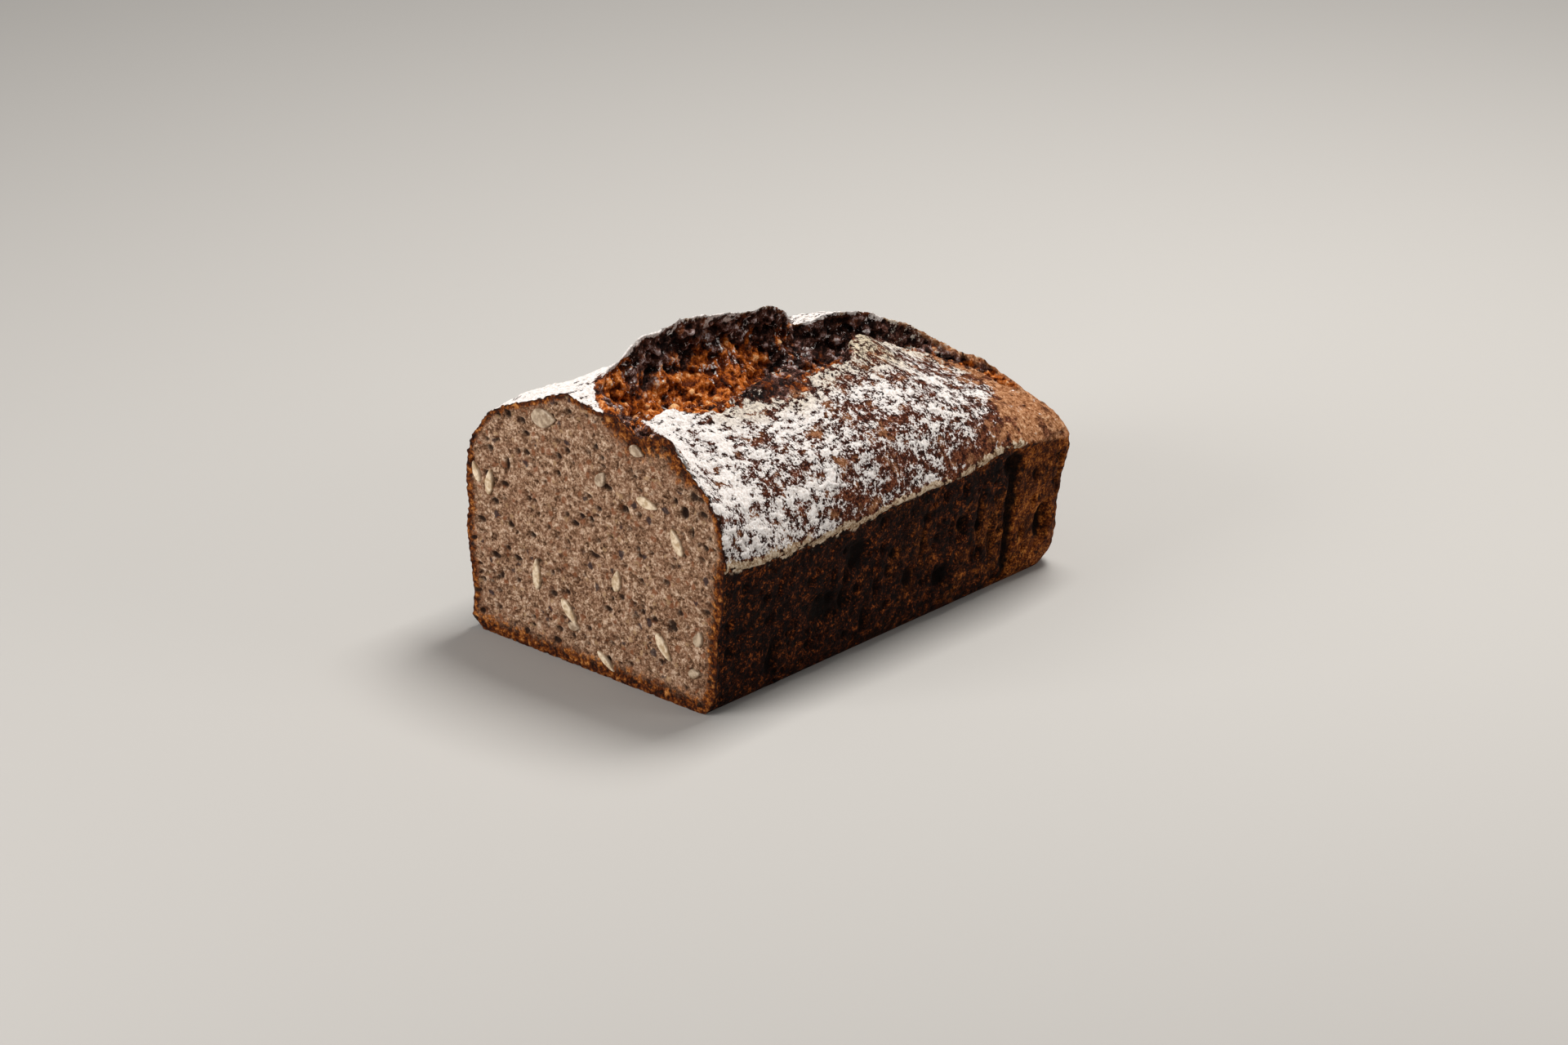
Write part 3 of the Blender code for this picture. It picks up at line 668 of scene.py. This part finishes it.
def pores():
    """Scattered pores of the cut face: (x, height, half width, half height, depth)."""
    rand = random.Random(7)
    found = []
    for _ in range(PORES):
        size = PORE_SIZE[0] + PORE_SIZE[1] * rand.random() ** 6
        depth = PORE_DEPTH[0] + PORE_DEPTH[1] * size * rand.uniform(0.6, 1.4)
        found.append((rand.uniform(-56, 60), rand.uniform(2, 94), size * rand.uniform(0.8, 1.9), size, depth))
    return found


def pressed(x, z, table):
    """Depth of small pores at a grid of points, each worked out only near the pore."""
    depth = np.zeros_like(x)
    for place, height, half_width, half_height, deep in table:
        near = (np.abs(x - place) < 2.5 * half_width) & (np.abs(z - height) < 2.5 * half_height)
        off = ((x[near] - place) / half_width) ** 2 + ((z[near] - height) / half_height) ** 2
        depth[near] = np.maximum(depth[near], deep * np.exp(-off ** 1.5))
    return depth


def edge_gap(points, edge):
    """Distance from each point to the nearest edge point."""
    tree = kdtree.KDTree(len(edge))
    for number, place in enumerate(edge):
        tree.insert(Vector(place), number)
    tree.balance()
    return np.array([tree.find(Vector(place))[2] for place in points])


def face_rind(points, ring, across, up):
    """How brown each point of the cut face is, from 1 at the crust down to 0 and below."""
    x, z = points[:, 0], points[:, 2]
    under_tear = fade(x, 4, 12) * fade(x, 50, 38)
    right = RIND_RIGHT - (RIND_RIGHT - RIND_TOP) * fade(z, 50, 66)
    thick = (RIND_BASE, right, RIND_TOP + (RIND_TEAR - RIND_TOP) * under_tear, RIND_LEFT)
    starts = np.cumsum([0, across, up, across, up])
    rind = np.full(len(points), -9.0)
    for side in range(4):
        edge = ring[starts[side]:starts[side + 1]]
        rind = np.maximum(rind, 1 - edge_gap(points, points[edge]) / thick[side])
    return rind


def seed_groove(x, z):
    """Share of a hollow under and close round each seed of the cut face, which is also darkened with painted shade."""
    groove = np.zeros_like(x)
    for place, height, half_length, half_width, turn in SEEDS:
        angle = np.radians(turn)
        first = ((x - place) * np.cos(angle) + (z - height) * np.sin(angle)) / (half_length + 0.3)
        second = ((z - height) * np.cos(angle) - (x - place) * np.sin(angle)) / (half_width + 0.3)
        off = np.clip(np.hypot(first, second) - 1, 0, None)
        groove = np.maximum(groove, np.exp(-(off * half_width / 0.45) ** 2))
    return groove


def face_mesh():
    """Slab of the cut face, with its pores, and a rim that meets the body."""
    across, up = FACE_GRID
    depths = (0, FACE_DEPTH, SLAB_DEPTH)
    parts = sections(depths, BODY_GRID[0], BODY_GRID[1])
    layers = []
    for station, s in enumerate(depths):
        cap = cap_points(parts, station, np.linspace(0, 1, across + 1), np.linspace(0, 1, up + 1))
        x, z, torn = cap.reshape(-1, 3).T
        layers.append(relief(x, np.full_like(x, s), z, torn, np.zeros(len(x), bool)))
    number = np.arange((across + 1) * (up + 1)).reshape(across + 1, up + 1)
    ring = np.concatenate([number[:-1, 0], number[-1, :-1], number[:0:-1, -1], number[0, :0:-1]])
    front, second, third = layers[0], layers[1][ring], layers[2][ring]
    middle = third.mean(axis=0)
    third = third + (middle - third) * SLAB_INSET * np.array([1, 0, 1])
    gap = edge_gap(front, front[ring])
    rind = face_rind(front, ring, across, up)
    x, z = front[:, 0].copy(), front[:, 2].copy()
    inside = smooth_step(gap / 1.2)
    pit = np.maximum(marks(x, z, HOLES), pressed(x, z, pores()))
    groove = seed_groove(x, z)
    crust_part = fade(rind, 0.1, 0.5)
    rough = (lumps(front, 2.4, 61) - 0.5) * 0.7 + (lumps(front, 1.2, 62) - 0.5) * 0.5
    soft = swirl(front, 3.0, 21)[:, 1] * 0.35 + swirl(front, 1.3, 22)[:, 1] * 0.25
    sunk = pit * (1 - crust_part) + groove * 0.5 + soft - rough * (0.35 + 0.65 * crust_part)
    front[:, 1] += np.maximum(sunk, -0.35) * inside
    ragged = swirl(front, 1.6, 25) * 0.7 * smooth_step(1 - gap / 2)[:, None]
    front[:, 0] += ragged[:, 0]
    front[:, 2] = np.maximum(front[:, 2] + ragged[:, 2], 0)
    total = len(front)
    count = len(ring)
    step = np.arange(count)
    follow = (step + 1) % count
    strips = [np.stack([ring[step], ring[follow], total + follow, total + step], axis=-1),
              np.stack([total + step, total + follow, total + count + follow, total + count + step], axis=-1)]
    faces = np.concatenate([grid_faces(across + 1, up + 1)[:, ::-1]] + strips)
    points = np.concatenate([front, second, third])
    extra = np.zeros(2 * count)
    # The depths of the pores, holes and seed hollows are kept for the crumb's painted shade.
    values = {"pit": pit + groove * 0.3, "rind": rind, "grain": rough + 0.5}
    mesh = make_mesh("crumb", points, faces, {label: np.concatenate([value, extra + (label == "rind")])
                                              for label, value in values.items()})
    close_back(mesh)
    return mesh


def close_back(mesh):
    """Fill the open back of the slab with one face."""
    work = bmesh.new()
    work.from_mesh(mesh)
    bmesh.ops.holes_fill(work, edges=[edge for edge in work.edges if edge.is_boundary], sides=0)
    bmesh.ops.recalc_face_normals(work, faces=work.faces)
    work.to_mesh(mesh)
    work.free()


def flour_mesh():
    """Sheet of the thicker flour on the top, kept where it rises above the crust."""
    columns, rows = FLOUR_GRID
    sheet = []
    for s in np.linspace(0.02, along(FLOUR_END, -60) + 4, rows + 1):
        left_place, right_place = rim_left(s)[1], rim_right(s)[1]
        x = np.linspace(left_place + 0.5, right_place - 0.6, 3 * columns)
        line = even_points(np.stack(top_surface(x, np.full_like(x, s)), axis=-1), columns)
        sheet.append(np.insert(line, 1, s, axis=1))
    x, s, z, torn = np.concatenate(sheet).T
    bare = bare_share(x, s)
    laid = relief(x, s, z, torn, np.zeros(len(x), bool))
    cover = flour_cover(x, s, z, np.maximum(torn, bare))
    least, gain, most = FLOUR_SHEET
    grains = np.array([noise.noise(Vector(p) / 0.9) for p in laid])
    thick = np.clip((cover - least) * gain + 0.1 * grains, -0.4, most + 0.08 * grains)
    thick = np.where(np.maximum(torn, bare) > 0.05, -0.4, thick)
    laid += grid_normals(laid, rows + 1, columns + 1) * thick[:, None]
    faces = grid_faces(rows + 1, columns + 1)
    keep = (thick[faces] > -0.02).any(axis=1)
    used = np.unique(faces[keep])
    renumber = np.zeros(len(laid), int)
    renumber[used] = np.arange(len(used))
    return make_mesh("flour", laid[used], renumber[faces[keep]], {"cream": cream_share(x, s)[used]})


def seed_mesh():
    """Kernels in the cut face, cut level with it."""
    work = bmesh.new()
    dull = work.verts.layers.float.new("dull")
    for number, (x, z, half_length, half_width, turn) in enumerate(SEEDS):
        made = bmesh.ops.create_uvsphere(work, u_segments=20, v_segments=14, radius=1)["verts"]
        angle = math.radians(turn)
        for vert in made:
            a, b, c = vert.co
            taper = 0.92 - 0.25 * a - 0.25 * a * a
            flat = max(b * 1.6, -SEED_RISE)
            wave = 0.06 * noise.noise(Vector((a, b, c)) * 2 + Vector((number * 3.1, 0, 0)))
            u, v = a * half_length * SEED_LENGTH, c * half_width * SEED_WIDTH * taper * (1 + wave)
            place = Vector((x + u * math.cos(angle) - v * math.sin(angle), flat + 0.15 + wave,
                            z + u * math.sin(angle) + v * math.cos(angle)))
            vert.co = (place - Vector((MIDDLE_X, MIDDLE_S, 0))) * MM
            vert[dull] = half_width / half_length
    mesh = bpy.data.meshes.new("seeds")
    work.to_mesh(mesh)
    work.free()
    return mesh


def tint(red, green, blue):
    """Linear colour from the usual 0 to 255 values."""
    return [((c / 255 + 0.055) / 1.055) ** 2.4 if c > 10 else c / 255 / 12.92 for c in (red, green, blue)] + [1.0]


class Finish:
    """A procedural material, with short ways to add its nodes."""

    def __init__(self, name, roughness):
        self.material = bpy.data.materials.new(name)
        self.material.use_nodes = True
        self.tree = self.material.node_tree
        self.shader = self.tree.nodes["Principled BSDF"]
        self.shader.inputs["Roughness"].default_value = roughness
        self.place = self.tree.nodes.new("ShaderNodeTexCoord").outputs["Object"]

    def node(self, kind, inputs, **settings):
        """New node with its inputs set or joined."""
        node = self.tree.nodes.new(kind)
        for label, value in settings.items():
            setattr(node, label, value)
        for label, value in inputs.items():
            if isinstance(value, bpy.types.NodeSocket):
                self.tree.links.new(value, node.inputs[label])
            else:
                node.inputs[label].default_value = value
        return node

    def value(self, label):
        """A value kept on the mesh's points."""
        return self.node("ShaderNodeAttribute", {}, attribute_name=label).outputs["Fac"]

    def math(self, operation, first, second=0.0, third=0.0, clamp=False):
        """Arithmetic on two values."""
        inputs = {0: first, 1: second, 2: third}
        return self.node("ShaderNodeMath", inputs, operation=operation, use_clamp=clamp).outputs[0]

    def noise(self, size, detail=3.0, roughness=0.6, warp=0.0):
        """Soft noise from 0 to 1, with features of a size in millimetres."""
        inputs = {"Vector": self.place, "Scale": 1000 / size, "Detail": detail, "Roughness": roughness,
                  "Distortion": warp}
        return self.node("ShaderNodeTexNoise", inputs).outputs[0]

    def grain(self, coarse, fine):
        """Noise of two sizes with strong contrast."""
        both = self.math("MULTIPLY_ADD", coarse, 0.6, self.math("MULTIPLY", fine, 0.4))
        return self.math("MULTIPLY_ADD", both, 2.0, -0.5)

    def cells(self, size, randomness=1.0):
        """Distance to the nearest of scattered points, and a random colour for each."""
        inputs = {"Vector": self.warped(size), "Scale": 1000 / size, "Randomness": randomness}
        node = self.node("ShaderNodeTexVoronoi", inputs)
        return node.outputs["Distance"], node.outputs["Color"]

    def warped(self, size):
        """Place, bent a little so that cells are not round."""
        bend = self.node("ShaderNodeTexNoise", {"Vector": self.place, "Scale": 1400 / size, "Detail": 2.0})
        inputs = {0: bend.outputs["Color"], 1: (size * MM * 0.7,) * 3, 2: self.place}
        return self.node("ShaderNodeVectorMath", inputs, operation="MULTIPLY_ADD").outputs[0]

    def step(self, value, low, high, start=0.0, end=1.0):
        """Smooth change from start to end while the value goes from low to high."""
        inputs = {"Value": value, "From Min": low, "From Max": high, "To Min": start, "To Max": end}
        return self.node("ShaderNodeMapRange", inputs, interpolation_type="SMOOTHSTEP").outputs[0]

    def mix(self, share, first, second, blend="MIX"):
        """Blend of two colours."""
        node = self.node("ShaderNodeMix", {0: share, 6: first, 7: second}, data_type="RGBA", blend_type=blend)
        return node.outputs[2]

    def ramp(self, value, stops):
        """Colours along a value."""
        node = self.node("ShaderNodeValToRGB", {0: value})
        points = node.color_ramp.elements
        while len(points) < len(stops):
            points.new(0.5)
        for point, (spot, color) in zip(points, stops):
            point.position = spot
            point.color = color
        return node.outputs[0]

    def color(self, socket):
        """Join the base colour."""
        self.tree.links.new(socket, self.shader.inputs["Base Color"])

    def roughness(self, socket):
        """Join the roughness."""
        self.tree.links.new(socket, self.shader.inputs["Roughness"])

    def bump(self, height, depth, strength=1.0):
        """Fine relief from a height from 0 to 1, of a depth in millimetres."""
        inputs = {"Height": height, "Distance": depth * MM, "Strength": strength}
        node = self.node("ShaderNodeBump", inputs)
        self.tree.links.new(node.outputs[0], self.shader.inputs["Normal"])


def crust_material():
    """Dark tin crust, craggy tear, floured top and cream rim, with painted shade in the tear's creases, marks, cracks
    and holes, and painted highlights on the crags.
    """
    finish = Finish("crust", 0.6)
    finish.shader.inputs["Specular IOR Level"].default_value = 0.08
    grain = finish.noise(2.0, 6, 0.75)
    fine = finish.noise(0.8, 3, 0.7)
    patch = finish.noise(13, 4, 0.6)
    speckle = finish.grain(grain, fine)
    coarse = finish.grain(finish.noise(2.8, 6, 0.8), fine)
    dark = finish.ramp(coarse, [(0.36, tint(5, 0, 0)), (0.52, tint(30, 8, 1)), (0.61, tint(78, 32, 9)),
                                (0.72, tint(168, 90, 36))])
    warm = finish.ramp(coarse, [(0.32, tint(24, 6, 0)), (0.47, tint(92, 40, 9)), (0.58, tint(152, 82, 26)),
                                (0.72, tint(214, 138, 66))])
    age = finish.math("ADD", finish.value("warm"), finish.step(patch, 0.38, 0.62, -0.35, 0.35))
    wall = finish.mix(finish.step(age, 0.1, 0.95), dark, warm)
    # Painted shade: thin cracks and small round holes in the walls, laid on as near-black; the same mask also sinks
    # the walls' bump.
    line = finish.math("ABSOLUTE", finish.math("SUBTRACT", finish.noise(11, 5, 0.6), 0.5))
    painted_crack_shade = finish.math("MULTIPLY", finish.step(line, 0.016, 0.004), finish.step(patch, 0.46, 0.56))
    near, kind = finish.cells(5.5)
    pick = finish.node("ShaderNodeSeparateColor", {0: kind})
    painted_hole_shade = finish.math("MULTIPLY", finish.step(near, 0.24, 0.14), finish.step(pick.outputs[0], 0.5, 0.55))
    gap = finish.math("MULTIPLY", finish.math("MAXIMUM", painted_crack_shade, painted_hole_shade), 0.85)
    wall = finish.mix(gap, wall, tint(8, 2, 0))
    brown = finish.ramp(speckle, [(0.36, tint(26, 8, 4)), (0.47, tint(74, 34, 19)), (0.57, tint(116, 62, 38)),
                                  (0.7, tint(172, 112, 78))])
    tan = finish.ramp(speckle, [(0.32, tint(96, 52, 26)), (0.46, tint(158, 104, 66)), (0.6, tint(194, 144, 106)),
                                (0.74, tint(224, 184, 148))])
    mottle = finish.step(finish.noise(7, 4), 0.36, 0.64, -0.7, 0.5)
    upper = finish.mix(finish.step(finish.math("ADD", finish.value("tan"), mottle), 0.15, 0.75), brown, tan)
    crust = finish.mix(finish.value("upper"), wall, upper)
    # Painted shade and highlight: the amber and the charred crags are darker in the creases between their lumps and
    # lighter on the lumps' tops, with pale blue-grey glints on the charred tops; the amber and burnt colours
    # themselves are real.
    height = finish.math("MULTIPLY_ADD", finish.value("lump"), 0.6, finish.math("MULTIPLY", speckle, 0.4))
    amber = finish.ramp(height, [(0.35, tint(18, 3, 0)), (0.46, tint(106, 42, 6)), (0.56, tint(204, 108, 32)),
                                 (0.66, tint(246, 192, 134))])
    char = finish.ramp(height, [(0.36, tint(4, 1, 1)), (0.48, tint(38, 19, 14)), (0.57, tint(100, 62, 50)),
                                (0.67, tint(198, 182, 182))])
    burnt = finish.math("ADD", finish.value("char"), finish.step(finish.noise(6, 4, 0.65), 0.36, 0.64, -0.42, 0.42))
    crust = finish.mix(finish.value("torn"), crust, finish.mix(finish.step(burnt, 0.3, 0.7), amber, char))
    cream = finish.ramp(speckle, [(0.36, tint(116, 82, 54)), (0.48, tint(186, 158, 126)), (0.62, tint(226, 208, 184))])
    pale = finish.math("ADD", finish.value("ledge"), finish.step(finish.noise(4), 0.36, 0.64, -0.55, 0.3))
    crust = finish.mix(finish.step(pale, 0.35, 0.6), crust, cream)
    rim = finish.math("ADD", finish.value("edge"), finish.step(finish.noise(4), 0.35, 0.65, -0.45, 0.2))
    crust = finish.mix(finish.step(rim, 0.3, 0.6), crust, cream)
    cover = finish.math("ADD", finish.value("dust"), finish.step(grain, 0.36, 0.64, -0.3, 0.3))
    cover = finish.math("ADD", cover, finish.step(fine, 0.36, 0.64, -0.22, 0.22))
    cover = finish.step(cover, -0.03, 0.07)
    white = finish.mix(finish.step(fine, 0.35, 0.6), tint(202, 190, 182), tint(243, 238, 236))
    aged = finish.mix(finish.step(grain, 0.42, 0.54), tint(92, 76, 58), tint(218, 204, 180))
    crust = finish.mix(cover, crust, finish.mix(finish.value("cream"), white, aged))
    # Painted shade: the marks, groove and nicks of the crust darken with their depth, to near-black in the deepest.
    pit = finish.step(finish.value("mark"), 0.28, 0.7, 0, 0.95)
    finish.color(finish.mix(pit, crust, tint(9, 3, 1)))
    rough = finish.step(finish.value("torn"), 0, 1, 0.7, 0.26)
    finish.roughness(finish.math("MAXIMUM", rough, finish.math("MULTIPLY", cover, 0.95)))
    rise = finish.math("MULTIPLY_ADD", cover, 0.25, speckle)
    on_wall = finish.math("SUBTRACT", 1.0, finish.value("upper"))
    finish.bump(finish.math("SUBTRACT", rise, finish.math("MULTIPLY", gap, on_wall)), 0.8)
    return finish.material


def crumb_material():
    """Porous grey-beige crumb with bran specks and a brown band under the crust, with painted shade in its pores,
    holes and seed hollows, darker the deeper they are.
    """
    finish = Finish("crumb", 0.6)
    finish.shader.inputs["Specular IOR Level"].default_value = 0.12
    grain = finish.noise(1.8, 6, 0.7)
    soft = finish.noise(6, 4, 0.6)
    fine = finish.noise(0.7, 3, 0.7)
    speckle = finish.grain(grain, fine)
    base = finish.ramp(speckle, [(0.3, tint(60, 36, 21)), (0.44, tint(130, 95, 70)), (0.54, tint(174, 137, 108)),
                                 (0.7, tint(238, 210, 184))])
    base = finish.mix(finish.step(soft, 0.4, 0.62, 0, 0.5), base, finish.mix(0.5, base, tint(150, 104, 78)))
    near, kind = finish.cells(3.6)
    pick = finish.node("ShaderNodeSeparateColor", {0: kind})
    bran = finish.math("MULTIPLY", finish.step(near, 0.36, 0.24), finish.step(pick.outputs[0], 0.56, 0.6))
    base = finish.mix(finish.math("MULTIPLY", bran, 0.75), base, tint(142, 86, 54))
    near, kind = finish.cells(3.1)
    pick = finish.node("ShaderNodeSeparateColor", {0: kind})
    husk = finish.math("MULTIPLY", finish.step(near, 0.34, 0.2), finish.step(pick.outputs[2], 0.66, 0.72))
    base = finish.mix(finish.math("MULTIPLY", husk, 0.6), base, tint(196, 160, 120))
    near, kind = finish.cells(5.2)
    pick = finish.node("ShaderNodeSeparateColor", {0: kind})
    dark = finish.math("MULTIPLY", finish.step(near, 0.36, 0.26), finish.step(pick.outputs[1], 0.56, 0.6))
    base = finish.mix(finish.math("MULTIPLY", dark, 0.85), base, tint(54, 42, 46))
    height = finish.math("MULTIPLY_ADD", finish.value("grain"), 0.35, finish.math("MULTIPLY", speckle, 0.65))
    rind = finish.ramp(height, [(0.36, tint(24, 6, 0)), (0.47, tint(82, 34, 6)), (0.57, tint(146, 78, 22)),
                                (0.69, tint(214, 146, 80))])
    band = finish.math("ADD", finish.value("rind"), finish.step(grain, 0.3, 0.7, -0.3, 0.3))
    base = finish.mix(finish.step(band, 0.05, 0.6), base, rind)
    base = finish.mix(finish.step(finish.value("rind"), 0.7, 1.0, 0, 0.45), base, tint(56, 18, 2))
    # Painted shade: pores, holes and the hollows round the seeds darken with their depth.
    pit = finish.step(finish.value("pit"), 0.5, 1.6, 0, 0.95)
    finish.color(finish.mix(pit, base, tint(38, 22, 15)))
    finish.bump(speckle, 0.9)
    return finish.material


def flour_material():
    """Dry white flour."""
    finish = Finish("flour", 0.95)
    finish.shader.inputs["Specular IOR Level"].default_value = 0.2
    grain = finish.noise(0.9, 5, 0.7)
    white = finish.mix(finish.step(grain, 0.35, 0.6), tint(208, 197, 190), tint(244, 240, 238))
    aged = finish.ramp(grain, [(0.4, tint(82, 68, 54)), (0.49, tint(178, 160, 134)), (0.6, tint(224, 211, 188))])
    finish.color(finish.mix(finish.value("cream"), white, aged))
    finish.bump(grain, 0.6)
    return finish.material


def seed_material():
    """Pale kernels."""
    finish = Finish("seed", 0.42)
    grain = finish.noise(2.2, 3, 0.6)
    pale = finish.mix(finish.step(grain, 0.36, 0.62), tint(176, 148, 112), tint(226, 206, 178))
    grey = finish.mix(finish.step(grain, 0.36, 0.62), tint(134, 110, 86), tint(192, 171, 146))
    finish.color(finish.mix(finish.step(finish.value("dull"), 0.5, 0.66), pale, grey))
    finish.bump(grain, 0.1)
    return finish.material


def floor_material():
    """Plain pale floor."""
    finish = Finish("floor", 0.9)
    finish.shader.inputs["Base Color"].default_value = tint(176, 174, 171)
    return finish.material


def make_camera():
    """Camera at the photograph's place and angle."""
    turn, drop = math.radians(CAMERA_TURN), math.radians(CAMERA_DROP)
    back = Vector((math.sin(turn) * math.cos(drop), -math.cos(turn) * math.cos(drop), math.sin(drop)))
    camera = bpy.data.objects.new("camera", bpy.data.cameras.new("camera"))
    camera.data.lens = LENS
    camera.data.sensor_width = 36.0
    camera.data.clip_start = 0.05
    place = Vector(CAMERA_PLACE) - Vector((MIDDLE_X, MIDDLE_S, 0))
    camera.rotation_euler = back.to_track_quat("Z", "Y").to_euler()
    camera.location = place * MM
    bpy.context.scene.collection.objects.link(camera)
    bpy.context.scene.camera = camera


def area_light(name, place, power, size, color):
    """Square soft light that looks at the loaf."""
    lamp = bpy.data.lights.new(name, "AREA")
    lamp.energy = power
    lamp.size = size
    lamp.color = color
    light = bpy.data.objects.new(name, lamp)
    light.location = place
    light.rotation_euler = (Vector(place) - Vector((0, 0, 0.05))).to_track_quat("Z", "Y").to_euler()
    bpy.context.scene.collection.objects.link(light)


def make_stage():
    """Pale floor, soft lights and a plain surround."""
    bpy.ops.mesh.primitive_plane_add(size=8)
    floor = bpy.context.object
    floor.name = "floor"
    floor.data.materials.append(floor_material())
    area_light("key", (0.0, 0.38, 1.0), 13.5, 0.45, (1.0, 0.97, 0.93))
    area_light("front", (-0.3, -1.0, 0.42), 9, 0.6, (1.0, 0.97, 0.94))
    area_light("side", (0.95, 0.4, 0.45), 2.2, 0.4, (1.0, 0.95, 0.9))
    world = bpy.data.worlds.new("surround")
    world.use_nodes = True
    world.node_tree.nodes["Background"].inputs["Color"].default_value = (1.0, 0.98, 0.96, 1)
    world.node_tree.nodes["Background"].inputs["Strength"].default_value = 0.22
    bpy.context.scene.world = world
    bpy.context.scene.view_settings.view_transform = "Standard"


make_camera()
make_stage()
body = body_mesh()
weld(body, 1e-6)
show(thinned(body, BODY_TRIANGLES), crust_material())
show(face_mesh(), crumb_material())
show(seed_mesh(), seed_material())
show(flour_mesh(), flour_material())
